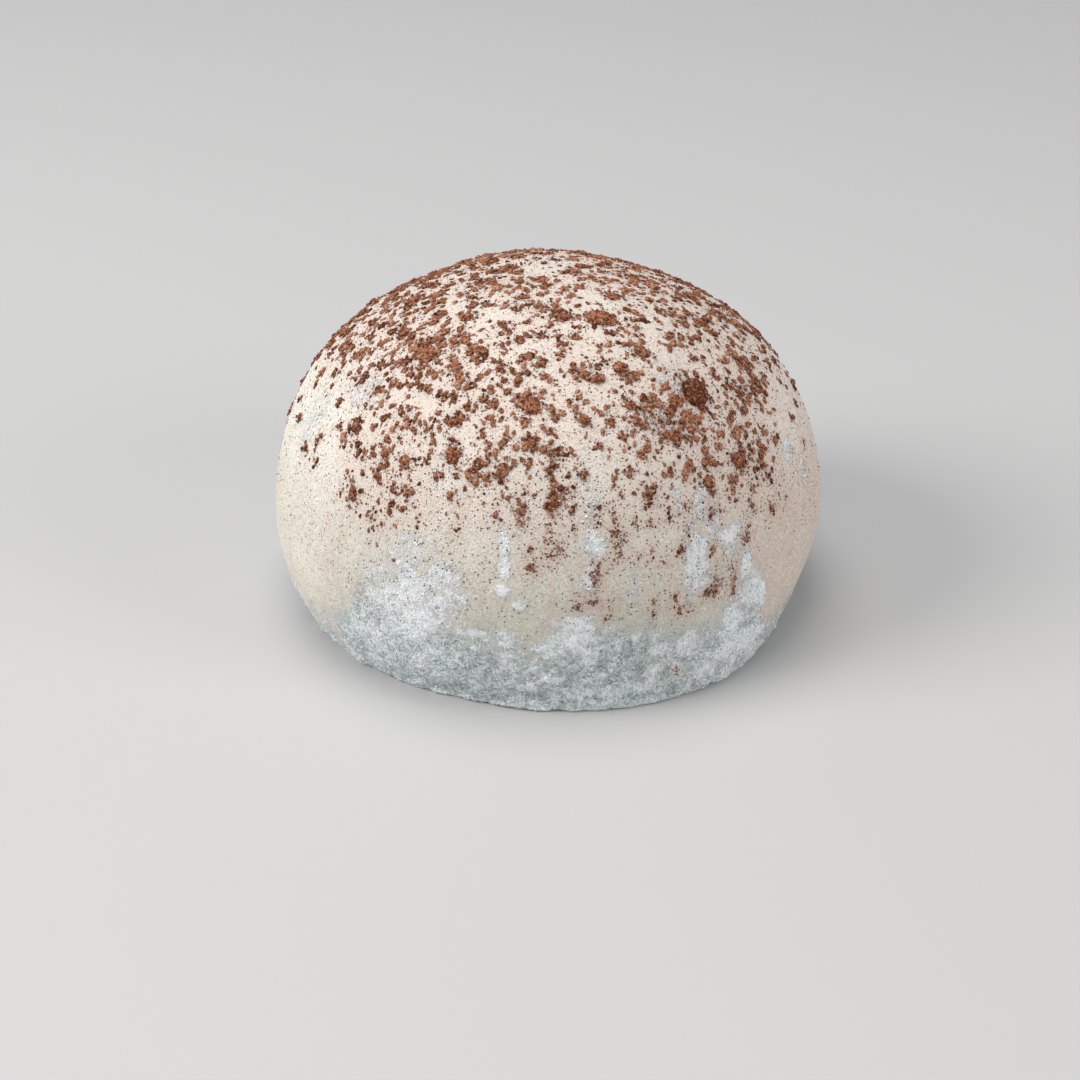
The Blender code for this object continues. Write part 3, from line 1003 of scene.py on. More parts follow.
# cocoa fell in loose gatherings, thickest on top and to the back left, thinning out down the flank
cocoa = {
    "seed": 23,
    "edges": [  # azimuth and rise of the cocoa's lower limit, in degrees
        (-180, 28), (-165, 29), (-152, 27), (-142, 20), (-132, 15), (-120, 18), (-106, 20),
        (-90, 23), (-75, 24), (-60, 21), (-48, 16), (-38, 13), (-28, 18), (-14, 26),
        (0, 27), (30, 21), (60, 18), (90, 22), (125, 18), (155, 18),
    ],
    "edgeRagged": (math.radians(6), 9),  # how far up or down the limit strays, and how often
    "edgeFade": math.radians(22),
    "side": -155,  # azimuth of the side where most of it fell
    "lean": 0.25,
    "thickSpots": [  # azimuth, rise, radius in degrees, and how much more or less lies there
        (-158, 69, 13, 0.45), (-150, 53, 18, 0.35), (-45, 31, 13, 1.0), (-22, 48, 11, 0.3),
        (-90, 76, 18, -0.25), (-30, 60, 16, -0.2), (60, 50, 20, 0.4),
    ],
    "thinSpots": [  # azimuth, rise, radius in degrees: bare places among the crumbs
        (-71, 41, 4.5), (-84, 43, 3.5), (-100, 56, 3.5), (-38, 62, 5), (-84, 62, 3.5), (-30, 34, 4),
        (-150, 40, 4), (-154, 32, 8), (-141, 39, 11), (96, 84, 7), (-88, 28, 3.5), (-92, 40, 3),
        (-44.5, 46, 6), (-161, 40, 6), (20, 50, 5), (75, 40, 5), (120, 60, 5), (165, 45, 5),
        (-10, 38, 5), (50, 70, 5),
    ],
    "bareness": 0.85,  # of the bare places
    "patchy": (0.70, 0.32, 5),  # even share, share in patches, and how many patches
    "flecks": {
        "most": 800,
        "members": 1.4,
        "spread": 1.15 * mm,
        "sizes": (0.93 * mm, 0.28),
        "limits": (0.5 * mm, 1.6 * mm),
    },
    "crumbs": {
        "most": 2400,
        "members": 2.0,
        "spread": 1.0 * mm,
        "sizes": (0.50 * mm, 0.33),
        "limits": (0.24 * mm, 0.95 * mm),
    },
    "lowest": 10,  # rise in degrees
    "sizeShares": (0.80, 0.20),  # of the size that crumbs have low down, and what they gain higher up
    "sizeLevels": (18 * mm, 26 * mm),
    "besideGap": (0.5, 0.22),  # of the fleck's and of the crumb's size
    "besideShare": 0.36,  # of the crumbs stick to the edge of a fleck
    "gap": 0.95,  # of their mean size, between neighbours
    "crowded": 0.26,  # share that may lie closer than that
    "flats": (0.40, 0.66),
    "tones": (0.47, 0.18),
    "trickleTones": (0.34, 0.18),
    "trickleMore": 1.25,
    "trickleSpread": 0.8,
    "trickleSizes": (-0.34, 0.36),  # logarithms of the middle size and its spread
    "downhill": 0.72,  # how far the crumbs turn towards the fall line
    "stretch": (0.95, 1.32),
    "toneDrift": (0.25, 6 * mm),  # how much and over what length the tone changes slowly
    # thin runs down the flank: upper and lower end in azimuth and rise, crumbs, size and spread in mm
    "trickles": [
        (-89.0, 30.0, -89.0, 24.0, 5, 0.40, 0.22), (-89.5, 23.0, -89.5, 18.0, 13, 0.34, 0.34),
        (-89.0, 17.0, -89.0, 14.5, 9, 0.28, 0.40), (-96.0, 27.5, -95.5, 25.0, 9, 0.52, 0.24),
        (-95.5, 25.0, -95.5, 21.0, 13, 0.24, 0.40), (-95.0, 30.5, -94.5, 28.5, 6, 0.36, 0.20),
        (-85.5, 30.5, -86.0, 26.5, 12, 0.27, 0.32), (-85.0, 22.5, -85.0, 20.5, 6, 0.34, 0.24),
        (-87.0, 19.0, -87.0, 14.5, 10, 0.25, 0.40), (-93.5, 17.5, -93.5, 15.5, 4, 0.36, 0.15),
        (-93.0, 14.5, -93.0, 12.0, 10, 0.36, 0.24), (-79.0, 26.0, -79.5, 21.0, 14, 0.28, 0.28),
        (-75.5, 27.0, -76.0, 22.5, 7, 0.30, 0.15), (-75.5, 22.5, -76.0, 18.5, 12, 0.31, 0.20),
        (-75.5, 18.0, -75.5, 13.0, 14, 0.27, 0.32), (-74.0, 20.0, -74.0, 16.5, 6, 0.27, 0.20),
        (-80.0, 14.0, -80.5, 10.5, 14, 0.36, 0.24), (-80.0, 10.0, -80.0, 4.5, 13, 0.25, 0.30),
        (-74.5, 32.5, -75.0, 30.0, 4, 0.44, 0.12), (-74.0, 28.0, -73.5, 27.0, 3, 0.40, 0.12),
        (-66.5, 28.5, -69.0, 22.5, 14, 0.52, 0.28), (-67.5, 21.5, -67.5, 19.5, 7, 0.33, 0.28),
        (-68.5, 15.5, -68.0, 12.5, 6, 0.34, 0.10), (-71.5, 22.5, -71.0, 17.5, 9, 0.27, 0.14),
        (-63.5, 23.5, -63.5, 19.5, 9, 0.36, 0.14), (-61.5, 14.5, -62.0, 12.0, 9, 0.33, 0.24),
        (-59.5, 23.0, -58.5, 20.5, 9, 0.25, 0.14), (-59.5, 18.5, -60.0, 15.5, 7, 0.27, 0.24),
        (-52.0, 25.0, -51.5, 22.5, 9, 0.40, 0.14), (-53.0, 20.5, -52.5, 18.0, 9, 0.33, 0.24),
        (-46.0, 24.5, -45.5, 19.5, 13, 0.35, 0.14), (-42.0, 18.5, -40.5, 14.5, 9, 0.40, 0.14),
        (-53.5, 12.0, -54.0, 9.5, 10, 0.27, 0.28), (-35.5, 16.0, -34.5, 12.0, 12, 0.38, 0.14),
        (-31.5, 16.0, -32.0, 14.5, 3, 0.38, 0.10), (-34.5, 25.0, -34.5, 20.0, 12, 0.42, 0.17),
        (-52.5, 8.5, -53.5, 0.5, 16, 0.27, 0.30), (-55.0, 3.5, -55.0, 1.5, 14, 0.30, 0.38),
        (-48.5, 7.0, -48.0, -1.5, 20, 0.26, 0.28), (-43.5, 13.0, -44.5, 8.5, 14, 0.24, 0.42),
        (-40.0, 22.5, -39.5, 17.5, 9, 0.30, 0.18), (-12.5, 22.5, -15.5, 17.5, 10, 0.30, 0.14),
        (-63.5, 4.0, -62.0, 0.0, 12, 0.34, 0.14), (-68.5, 4.0, -68.0, 3.0, 3, 0.33, 0.10),
        (-68.0, 1.5, -68.0, 0.5, 4, 0.28, 0.20), (-62.5, -25.5, -62.0, -33.5, 6, 0.27, 0.14),
        (-84.0, 5.0, -84.0, 3.5, 6, 0.27, 0.28), (-77.5, 5.0, -77.5, 1.0, 9, 0.22, 0.28),
        (-66.0, 12.0, -66.0, 10.5, 4, 0.30, 0.18), (-60.0, 1.5, -59.5, -2.5, 7, 0.25, 0.38),
        (-81.5, 5.5, -81.5, 5.0, 7, 0.26, 0.40), (-71.5, 14.0, -71.5, 13.0, 4, 0.26, 0.20),
        (-101, 28, -101, 20, 9, 0.36, 0.25), (-109, 27, -109, 19, 9, 0.38, 0.25),
        (-118, 24, -118, 18, 7, 0.36, 0.3), (-128, 22, -129, 15, 10, 0.46, 0.4),
        (-132, 23, -133, 17, 7, 0.44, 0.3), (-137, 27, -139, 19, 7, 0.50, 0.3),
        (-151, 31, -153, 22, 9, 0.44, 0.4), (8, 27, 8, 14, 10, 0.42, 0.3),
        (27, 26, 27, 15, 9, 0.40, 0.3), (48, 25, 48, 11, 14, 0.42, 0.3),
        (77, 24, 77, 12, 10, 0.36, 0.3), (90, 20, 90, 9, 10, 0.32, 0.3),
        (101, 26, 101, 14, 13, 0.42, 0.3), (125, 23, 125, 12, 9, 0.38, 0.3),
        (146, 22, 146, 11, 10, 0.38, 0.3), (173, 22, 173, 13, 9, 0.38, 0.3),
    ],
}


def lowerEdge(azimuth):
    return math.radians(valueAround(cocoa["edges"], azimuth))


def cocoaDensity(azimuth, rise):
    here = direction(azimuth, rise)
    stray, often = cocoa["edgeRagged"]
    ragged = stray * noise.fractal(here * often, 0.9, 2.0, 3)
    settled = softStep(0, cocoa["edgeFade"], rise - lowerEdge(azimuth) - ragged)
    density = settled * (1 - cocoa["lean"] * farShare(azimuth, cocoa["side"]) * math.cos(rise))
    for spot in cocoa["thinSpots"]:
        density *= 1 - cocoa["bareness"] * spotBell(here, *spot)
    for *spot, more in cocoa["thickSpots"]:
        density *= 1 + more * spotBell(here, *spot)
    # patches where more or less of it fell
    even, patches, often = cocoa["patchy"]
    return density * (even + patches * noise.fractal(here * often, 0.9, 2.0, 2))


def drawSpot(draw, lowest):
    azimuth = draw.uniform(-math.pi, math.pi)
    return azimuth, math.asin(draw.uniform(math.sin(math.radians(lowest)), 1))


def drawSize(draw, settings):
    median, spread = settings["sizes"]
    low, high = settings["limits"]
    return min(max(median * math.exp(draw.gauss(0, spread)), low), high)


def strew(kind, seed, taken, flecks=()):
    # gatherings of flecks or crumbs on the skin, most of them a little apart from those already there
    settings = cocoa[kind]
    draw = random.Random(seed)
    fleckShare, crumbShare = cocoa["besideGap"]
    lowSize, sizeGain = cocoa["sizeShares"]
    spots = []
    for _ in range(round(cocoa["besideShare"] * settings["most"]) if flecks else 0):
        point, fleckSize = draw.choice(flecks)
        place, down, side, _ = onSkin(point)
        size = drawSize(draw, settings)
        around = draw.uniform(-math.pi, math.pi)
        apart = fleckShare * fleckSize + crumbShare * size
        spots.append((place + (down * math.cos(around) + side * math.sin(around)) * apart, size))
    while len(spots) < settings["most"]:
        azimuth, rise = drawSpot(draw, cocoa["lowest"])
        keep = draw.random() < cocoaDensity(azimuth, rise)
        members = 1 + int(draw.expovariate(1 / settings["members"]))
        if not keep:
            continue
        place, down, side, _ = onSkin(skinPoint(azimuth, rise))
        for _ in range(members):
            point = place + down * draw.gauss(0, settings["spread"])
            point = point + side * draw.gauss(0, settings["spread"])
            high = softStep(*cocoa["sizeLevels"], place.z)
            size = drawSize(draw, settings) * (lowSize + sizeGain * high)
            apart = cocoa["gap"] / 2
            close = any((point - other).length < apart * (size + otherSize) for other, otherSize in taken)
            if close and draw.random() > cocoa["crowded"]:
                continue
            taken.append((point, size))
            spots.append((point, size))
    return spots


def strewTrickles():
    draw = random.Random(cocoa["seed"] + 7)
    spots = []
    for topAzimuth, topRise, lowAzimuth, lowRise, count, size, spread in cocoa["trickles"]:
        for _ in range(round(count * cocoa["trickleMore"])):
            share = draw.random()
            azimuth = math.radians(topAzimuth + (lowAzimuth - topAzimuth) * share)
            rise = math.radians(topRise + (lowRise - topRise) * share)
            stray = draw.gauss(0, cocoa["trickleSpread"] * spread * mm)
            aside = Vector((-math.sin(azimuth), math.cos(azimuth), 0)) * stray
            crumbSize = size * mm * math.exp(draw.gauss(*cocoa["trickleSizes"]))
            spots.append((skinPoint(azimuth, rise) + aside, crumbSize))
    return spots


def laySpots(name, shapes, spots, tones):
    draw = random.Random(name)
    places = []
    for point, size in spots:
        flat = draw.uniform(*cocoa["flats"])
        middle, spread = tones
        drift, driftLength = cocoa["toneDrift"]
        tone = draw.gauss(middle + drift * noise.noise(point / driftLength), spread)
        stretch = draw.uniform(*cocoa["stretch"])
        places.append(seat(point, shapes, size, flat, tone, draw, stretch, 0.0, cocoa["downhill"]))
    return joinCopies(name, shapes, places)


taken = [(skinSpot(azimuth, rise), length) for azimuth, rise, length, *_ in allClumps]
fleckSpots = strew("flecks", cocoa["seed"], taken)
crumbSpots = strew("crumbs", cocoa["seed"] + 1, taken, fleckSpots)
trickleSpots = strewTrickles()
cocoaFlecks = laySpots("cocoaFlecks", fleckModels, fleckSpots, cocoa["tones"])
cocoaCrumbs = laySpots("cocoaCrumbs", crumbModels, crumbSpots, cocoa["tones"])
cocoaTrickles = laySpots("cocoaTrickles", crumbModels, trickleSpots, cocoa["trickleTones"])
fallenSpots = fleckSpots + crumbSpots


# the finest cocoa that still shows as grains
grains = {
    "seed": 77,
    "most": 11500,
    "nearShare": 0.40,  # this share lies close to a crumb
    "everyTrickle": 2,  # every second crumb of the runs counts
    "nearSpread": 0.80 * mm,
    "sizes": (0.13 * mm, 0.25),
    "limits": (0.08 * mm, 0.22 * mm),
    "tones": (0.32, 0.20),
    "amongCrumbs": 0.50,
    "strayShare": 0.62,  # strays that reached the flank
    "strayRises": (math.radians(-6), math.radians(20)),  # where they start, and are all there
    "strayStreaks": (0.6, 0.8, 14),  # even share, share in streaks, and how many streaks
    "lowest": -4,
    "flat": 0.8,
    "stretch": (0.8, 1.3),
}


def layGrains():
    g = grains
    draw = random.Random(g["seed"])
    nearSpots = fallenSpots + trickleSpots[:: g["everyTrickle"]]
    places = []
    while len(places) < g["most"]:
        if draw.random() < g["nearShare"]:
            near, _ = draw.choice(nearSpots)
            point = near + Vector([draw.gauss(0, g["nearSpread"]) for _ in range(3)])
        else:
            azimuth, rise = drawSpot(draw, g["lowest"])
            even, share, often = g["strayStreaks"]
            around = Vector((math.cos(azimuth) * often, math.sin(azimuth) * often, 0))
            streaks = even + share * noise.noise(around)
            stray = g["strayShare"] * softStep(*g["strayRises"], rise) * max(streaks, 0)
            if draw.random() > max(g["amongCrumbs"] * cocoaDensity(azimuth, rise), stray):
                continue
            point = skinPoint(azimuth, rise)
        tone, size = draw.gauss(*g["tones"]), drawSize(draw, g)
        places.append(seat(point, moteModels, size, g["flat"], tone, draw, draw.uniform(*g["stretch"])))
    return joinCopies("cocoaGrains", moteModels, places)


cocoaGrains = layGrains()


# brown dust round the crumbs, painted on the skin from where they lie
dustPaint = {
    "reach": 0.36 * mm,
    "perCrumb": 0.24,
    "fullCrumb": 0.6 * mm,  # crumbs of this size leave that much, larger ones more
    "mostPerCrumb": 1.3,
    "perTrickle": 0.20,
    "perClump": 0.8,
    "cutOff": 1.7,  # nothing is painted past this many reaches
    "haze": (2.0 * mm, 0.055),  # reach and strength round each crumb
    "trickleHaze": (0.80 * mm, 0.17),
    "streakHaze": 0.58,
    "streaks": 0.34,  # faint runs of dust down the flank
    "streakLevels": (7.0 * mm, 12.0 * mm, 18.0 * mm, 22.0 * mm),  # from none to full, and back to none
    "streakSize": (1.0 * mm, 6 * mm),  # width and length
    "streakRange": (-0.05, 0.55),
    "regionSize": 9 * mm,  # of the places that have such runs
    "regionRange": (-0.25, 0.35),
    "smears": [  # azimuth, rise, reach in mm, strength
        (-51.5, 3, 1.1, 0.75), (-50, 9, 0.9, 0.45), (-62.5, -29, 0.6, 0.45), (-99.5, 4, 0.5, 0.5),
        (-95.5, -9, 0.7, 0.4), (-129.5, 12, 0.6, 0.35), (-68, 42, 2.0, 0.40), (-141, 42, 1.6, 0.40),
        (-143, 34, 1.8, 0.42), (-150, 30, 1.6, 0.30), (-160, 34, 2.2, 0.38), (-170, 42, 2.6, 0.36),
        (-95, 22, 0.9, 0.42), (-82, 24, 0.9, 0.35), (-39, 17, 1.6, 0.30), (-27, 17, 1.8, 0.26),
        (-44, 14, 1.2, 0.34), (-66, 23, 1.0, 0.28), (-56, 23, 1.1, 0.28), (-5, 34, 2.2, 0.30),
        (-44, 10, 0.9, 0.55), (-48.5, 3, 0.6, 0.6), (-79, 24, 0.7, 0.6), (-95.5, 24.5, 0.9, 0.45),
        (-53, 3, 0.7, 0.7), (-57.5, 38.5, 1.0, 0.5), (55, 20, 2.0, 0.40), (110, 17, 1.6, 0.40),
        (150, 25, 2.2, 0.36),
    ],
}


def spreadSpots(tree, size, spots):
    # soft round spots of colour, each with its point, reach and strength, added up for each vertex
    amounts = np.zeros(size)
    for point, reach, strength in spots:
        for _, index, apart in tree.find_range(point, reach * dustPaint["cutOff"]):
            amounts[index] += strength * bell(apart, reach)
    return amounts


def streakAt(place):
    low, lowFull, highFull, high = dustPaint["streakLevels"]
    zone = softStep(low, lowFull, place.z) * (1 - softStep(highFull, high, place.z))
    if zone == 0:
        return 0
    runs = noise.fractal(drawnOut(place, *dustPaint["streakSize"]), 0.8, 2.0, 3)
    region = noise.noise(place / dustPaint["regionSize"] + Vector((3, 1, 7)))
    return zone * softStep(*dustPaint["regionRange"], region) * softStep(*dustPaint["streakRange"], runs)


def paintDust(piece):
    p = dustPaint
    vertices = piece.data.vertices
    tree = KDTree(len(vertices))
    for vertex in vertices:
        tree.insert(vertex.co, vertex.index)
    tree.balance()
    spots = []
    for point, size in fallenSpots:
        strength = p["perCrumb"] * min(size / p["fullCrumb"], p["mostPerCrumb"])
        spots.append((point, p["reach"] + size / 3, strength))
    for point, size in trickleSpots:
        spots.append((point, p["reach"] + size / 3, p["perTrickle"]))
    for azimuth, rise, length, *_ in allClumps:
        spots.append((skinSpot(azimuth, rise), p["reach"] + length / 3, p["perClump"]))
    for azimuth, rise, reach, strength in p["smears"]:
        spots.append((skinSpot(azimuth, rise), reach * mm, strength))
    dust = spreadSpots(tree, len(vertices), spots)
    hazes = [(point, *p["haze"]) for point, _ in fallenSpots]
    hazes += [(point, *p["trickleHaze"]) for point, _ in trickleSpots]
    haze = spreadSpots(tree, len(vertices), hazes)
    streaks = np.array([streakAt(vertex.co) for vertex in vertices])
    writeAttribute(piece, "dust", 1 - np.exp(-(dust + p["streaks"] * streaks)))
    writeAttribute(piece, "haze", 1 - np.exp(-(haze + p["streakHaze"] * streaks)))


paintDust(mochiSkin)
print("dust painted")


# starch: small flat bits in the caked band, and loose grains on all of it
starchBits = {
    "flakes": {
        "seed": 31,
        "most": 520,
        "sizes": (0.27 * mm, 0.28),
        "limits": (0.16 * mm, 0.5 * mm),
        "needs": (0.45, 1.0),
        "flats": (0.3, 0.55),
    },
    "grains": {
        "seed": 32,
        "most": 19000,
        "sizes": (0.15 * mm, 0.28),
        "limits": (0.08 * mm, 0.28 * mm),
        "needs": (0.08, 0.72),  # whiteness at which they start to lie, and lie everywhere
        "flats": (0.6, 0.95),
    },
    "rises": (-57, 34),  # lowest and highest, in degrees
    "filmShare": 0.15,
    "tones": (0.70, 0.3),
    "stretch": (0.8, 1.4),
}


def layStarch(kind, name, shapes):
    settings = starchBits[kind]
    draw = random.Random(settings["seed"])
    places = []
    while len(places) < settings["most"]:
        azimuth = draw.uniform(-math.pi, math.pi)
        point = skinPoint(azimuth, math.radians(draw.uniform(*starchBits["rises"])))
        film, white = starchAt(point)
        if draw.random() > softStep(*settings["needs"], starchBits["filmShare"] * film + white):
            continue
        size, flat = drawSize(draw, settings), draw.uniform(*settings["flats"])
        tone, stretch = draw.gauss(*starchBits["tones"]), draw.uniform(*starchBits["stretch"])
        places.append(seat(point, shapes, size, flat, tone, draw, stretch))
    return joinCopies(name, shapes, places)


starchFlakes = layStarch("flakes", "starchFlakes", crumbModels)
starchGrains = layStarch("grains", "starchGrains", moteModels)


# materials
skinFinish = {
    "cream": (0.76, 0.715, 0.61),
    "beige": (0.69, 0.665, 0.575),
    # a pinker dough, for random blotches and for painted shade on the side away from the key light
    "flushAndSideShade": (0.63, 0.51, 0.43),
    "pit": (0.36, 0.335, 0.28),
    "frontShade": (0.53, 0.53, 0.45),  # painted shade: darker grey-green low on the front
    "bloom": (0.84, 0.80, 0.755),  # the thin white powder on the dough
    # painted shade: dark grey where the caked starch's tone is low, which is also where its bump lies
    # lowest
    "starchHollowShade": (0.20, 0.245, 0.255),
    # the starch's middle tone low down, darker and bluer: painted shade
    "starchShadedMiddle": (0.50, 0.575, 0.60),
    "starchLight": (0.93, 0.965, 0.985),
    "starchWarm": (0.75, 0.745, 0.715),  # where it lies thin on the dough
    "haze": (0.61, 0.42, 0.34),
    "stain": (0.32, 0.125, 0.068),
    "speck": (0.10, 0.040, 0.022),
    "clouds": {  # scale, detail, roughness, and the levels that become 0 and 1
        "slow": (95, 2.0, 0.5, 0.35, 0.65),
        "blotches": (260, 3.0, 0.55, 0.38, 0.66),
        "pits": (6800, 2.0, 0.65, 0.46, 0.66),
        "broad": (480, 4.0, 0.62, 0.34, 0.66),
        "fleece": (7200, 2.0, 0.7, 0.36, 0.64),
        "lumps": (2400, 3.0, 0.6, 0.34, 0.66),
    },
    "shares": {  # how strongly each colour lies over those before it
        "blotches": 0.35,
        "sideShade": 0.92,
        "frontShade": 0.75,
        "pits": 0.42,
        "dim": 0.44,
        "bright": 0.50,
        "film": 0.86,
        "loose": 0.96,
        "haze": 0.50,
        "stain": 0.82,
        "specks": 0.88,
    },
    "starchTones": {"white": 0.28, "broad": 0.17, "fleece": 0.22, "lumps": 0.20, "dim": 0.34},
    "bloomShares": (0.12, 0.66),  # low down and on the upper half
    "dimShares": (0.16, 0.44),
    "looseCover": 0.92,
    "stainCover": 0.62,
    "speckScale": 4200,
    "relief": {"starch": 0.3, "bloom": 0.26, "stain": 0.5, "depth": 0.19 * mm, "strength": 0.9},
    "powder": {"Fineness": 6200.0, "Clumping": 1300.0},
    "filmEdge": {"Coarse": 1100.0, "Fine": 6800.0, "Raggedness": 0.9, "Softness": 0.34},
    "looseEdge": {"Coarse": 1500.0, "Fine": 6800.0, "Raggedness": 1.8, "Softness": 0.10},
    "stainEdge": {"Coarse": 2300.0, "Fine": 6800.0, "Raggedness": 1.3, "Softness": 0.07},
    "sideShadeWidths": (6 * mm, 24 * mm),  # towards the side away from the key light, where the dough gets painted shade, darker and pinker
    "frontShadeLevels": (14 * mm, 7 * mm),
    "frontShadeDepths": (-13 * mm, -22 * mm),
    "upperHalf": (13 * mm, 22 * mm),
    "starchShadeLevels": (6 * mm, 12 * mm),  # painted shade: the starch's middle tone is darker and bluer below
    "speckLevels": (5 * mm, 14 * mm),
    "speckShares": (0.012, 0.098),
    "roughnesses": (0.60, 0.94),  # of the dough and of the starch
    "glow": {"Weight": 0.20, "Radius": (1.0, 0.62, 0.38), "Scale": 1.2 * mm},
}


def makeSkinMaterial():
    material, tree, shader, where = newMaterial("rice dough", 0.62)
    c = skinFinish
    shares = c["shares"]
    starch, white, dust, haze = [readAttribute(tree, name) for name in ("starch", "white", "dust", "haze")]
    fine = placeGroup(tree, powderGrain, Position=where, **c["powder"])
    grain, clumps, dim, bright = [fine.outputs[name] for name in ("Grain", "Clumps", "Dim", "Bright")]
    clouds = {name: addClouds(tree, where, *numbers) for name, numbers in c["clouds"].items()}
    axes = tree.nodes.new("ShaderNodeSeparateXYZ")
    tree.links.new(where, axes.inputs["Vector"])
    across, depth, level = [axes.outputs[name] for name in ("X", "Y", "Z")]

    # the dough: pinker blotches of its own, and painted shade, darker and pinker to the side away from the
    # key light and darker grey-green low on the front
    dough = mixColor(tree, clouds["slow"], c["cream"], c["beige"])
    # painted shade: the dough is darker and pinker towards the side away from the key light; the blotches
    # are its own random tone
    sideShade = addRange(tree, across, *c["sideShadeWidths"], 0.0, shares["sideShade"])
    flushAndShadeShare = plus(tree, times(tree, clouds["blotches"], shares["blotches"]), sideShade)
    dough = mixColor(tree, flushAndShadeShare, dough, c["flushAndSideShade"])
    # painted shade: the dough turns darker grey-green low on the front
    low = addRange(tree, level, *c["frontShadeLevels"])
    shadedFront = addRange(tree, depth, *c["frontShadeDepths"], 0.0, shares["frontShade"])
    dough = mixColor(tree, times(tree, low, shadedFront), dough, c["frontShade"])
    surface = layOver(tree, dough, clouds["pits"], shares["pits"], c["pit"])
    surface = layOver(tree, surface, addRange(tree, dim, 0.50, 1.0), shares["dim"], c["pit"])
    surface = layOver(tree, surface, addRange(tree, bright, 0.60, 1.0), shares["bright"], c["bloom"])

    # a bloom of fine white powder, thicker on the upper half
    upper = addRange(tree, level, *c["upperHalf"], *c["bloomShares"])
    powdered = plus(tree, times(tree, grain, 0.8), times(tree, clumps, 0.5))
    bloom = addMath(tree, "MULTIPLY", upper, powdered, clamp=True)
    surface = mixColor(tree, bloom, surface, c["bloom"])
    dimmer = addRange(tree, level, *c["upperHalf"], *c["dimShares"])
    surface = layOver(tree, surface, addRange(tree, dim, 0.66, 1.0), dimmer, c["pit"])

    # starch film, then the white powder on it, both broken into grains at the edges
    film = raggedMask(tree, where, starch, c["filmEdge"])
    toneShares = c["starchTones"]
    tone = times(tree, white, toneShares["white"])
    for name, part in {**clouds, "dim": dim}.items():
        if name in toneShares:
            tone = plus(tree, tone, times(tree, part, toneShares[name]))
    # painted shade: low down the starch's middle tone is darker and bluer
    high = addRange(tree, level, *c["starchShadeLevels"])
    middle = mixColor(tree, high, c["starchShadedMiddle"], c["starchWarm"])
    # painted shade: where the tone, and the bump with it, is low the starch turns dark grey; its whiteness
    # and clouds are its own
    powder = mixColor(tree, addRange(tree, tone, 0.22, 0.54), c["starchHollowShade"], middle)
    powder = mixColor(tree, addRange(tree, tone, 0.54, 0.80), powder, c["starchLight"])
    surface = layOver(tree, surface, film, shares["film"], powder)
    loose = raggedMask(tree, where, times(tree, white, c["looseCover"]), c["looseEdge"])
    crystals = mixColor(tree, addRange(tree, bright, 0.0, 0.36), middle, c["starchLight"])
    surface = layOver(tree, surface, loose, shares["loose"], crystals)

    # cocoa dust: a faint haze, a stain of grains, and single specks
    surface = layOver(tree, surface, haze, shares["haze"], c["haze"])
    stain = raggedMask(tree, where, times(tree, dust, c["stainCover"]), c["stainEdge"])
    surface = layOver(tree, surface, stain, shares["stain"], c["stain"])
    chance, _, fromMiddle = addCells(tree, where, c["speckScale"])
    often = plus(tree, times(tree, dust, 0.26), addRange(tree, level, *c["speckLevels"], *c["speckShares"]))
    chosen = addMath(tree, "LESS_THAN", chance, often)
    specks = times(tree, chosen, addRange(tree, fromMiddle, 0.44, 0.26))
    surface = layOver(tree, surface, specks, shares["specks"], c["speck"])
    tree.links.new(surface, shader.inputs["Base Color"])

    cover = addMath(tree, "MAXIMUM", film, loose)
    rough = addRange(tree, cover, 0.0, 1.0, *c["roughnesses"], smooth=False)
    tree.links.new(rough, shader.inputs["Roughness"])
    for name, value in c["glow"].items():
        shader.inputs[f"Subsurface {name}"].default_value = value
    shader.inputs["Specular IOR Level"].default_value = 0.30

    relief = c["relief"]
    starchHeight = times(tree, cover, plus(tree, tone, relief["starch"]))
    height = plus(tree, starchHeight, times(tree, grain, relief["bloom"]))
    height = plus(tree, height, times(tree, stain, relief["stain"]))
    addBump(tree, shader, height, relief["depth"], relief["strength"])
    return material


cocoaFinish = {
    "dark": (0.085, 0.024, 0.010),
    "middle": (0.350, 0.136, 0.071),
    "light": (0.560, 0.290, 0.180),
}


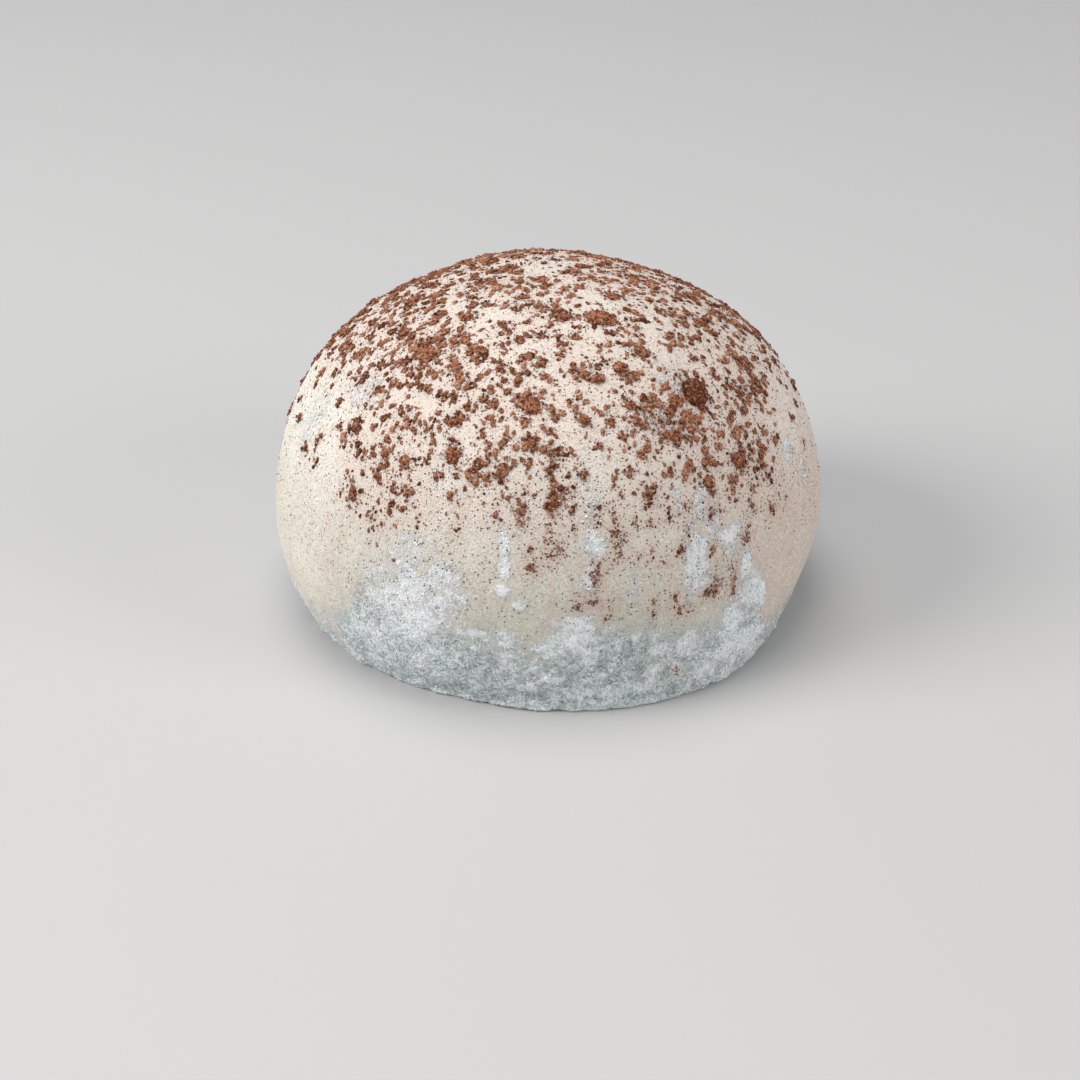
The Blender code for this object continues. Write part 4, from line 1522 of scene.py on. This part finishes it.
def makeCocoaMaterial():
    material, tree, shader, where = newMaterial("cocoa", 0.92)
    c = cocoaFinish
    tone = readAttribute(tree, "tone")
    fine = placeGroup(tree, powderGrain, Position=where, Fineness=6800.0, Clumping=3600.0)
    # painted shade: the colour is darker where the grain's relief lies low, in the hollows between grains;
    # each crumb's tone and the flicker are random
    swing = addMath(tree, "SUBTRACT", fine.outputs["Height"], 0.5)
    flicker = addMath(tree, "SUBTRACT", fine.outputs["Dim"], 0.5)
    shade = plus(tree, tone, times(tree, swing, 1.25))
    shade = plus(tree, shade, times(tree, flicker, 0.50))
    lower = mixColor(tree, addRange(tree, shade, 0.0, 0.50), c["dark"], c["middle"])
    surface = mixColor(tree, addRange(tree, shade, 0.50, 1.05), lower, c["light"])
    tree.links.new(surface, shader.inputs["Base Color"])
    shader.inputs["Specular IOR Level"].default_value = 0.20
    addBump(tree, shader, fine.outputs["Height"], 0.16 * mm, 1.0)
    return material


starchFinish = {"light": (0.94, 0.965, 0.98), "dark": (0.43, 0.47, 0.48)}


def makeStarchMaterial():
    material, tree, shader, where = newMaterial("starch", 0.9)
    c = starchFinish
    tone = readAttribute(tree, "tone")
    fine = placeGroup(tree, powderGrain, Position=where, Fineness=5200.0, Clumping=1800.0)
    shade = plus(tree, times(tree, tone, 0.6), times(tree, fine.outputs["Height"], 0.5))
    tree.links.new(mixColor(tree, shade, c["dark"], c["light"]), shader.inputs["Base Color"])
    shader.inputs["Subsurface Weight"].default_value = 0.1
    shader.inputs["Subsurface Scale"].default_value = 0.5 * mm
    addBump(tree, shader, fine.outputs["Height"], 0.08 * mm, 0.8)
    return material


mochiSkin.data.materials.append(makeSkinMaterial())
cocoaPieces = (cocoaCores, cocoaHeaps, cocoaFlecks, cocoaCrumbs, cocoaTrickles, cocoaGrains)
cocoaMaterial = makeCocoaMaterial()
for piece in cocoaPieces:
    piece.data.materials.append(cocoaMaterial)
starchPieces = (starchFlakes, starchGrains)
starchMaterial = makeStarchMaterial()
for piece in starchPieces:
    piece.data.materials.append(starchMaterial)
print("materials made")

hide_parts("mochi")
for piece in (mochiSkin, *cocoaPieces, *starchPieces):
    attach(piece, "root")

print("all pieces ride on the body")
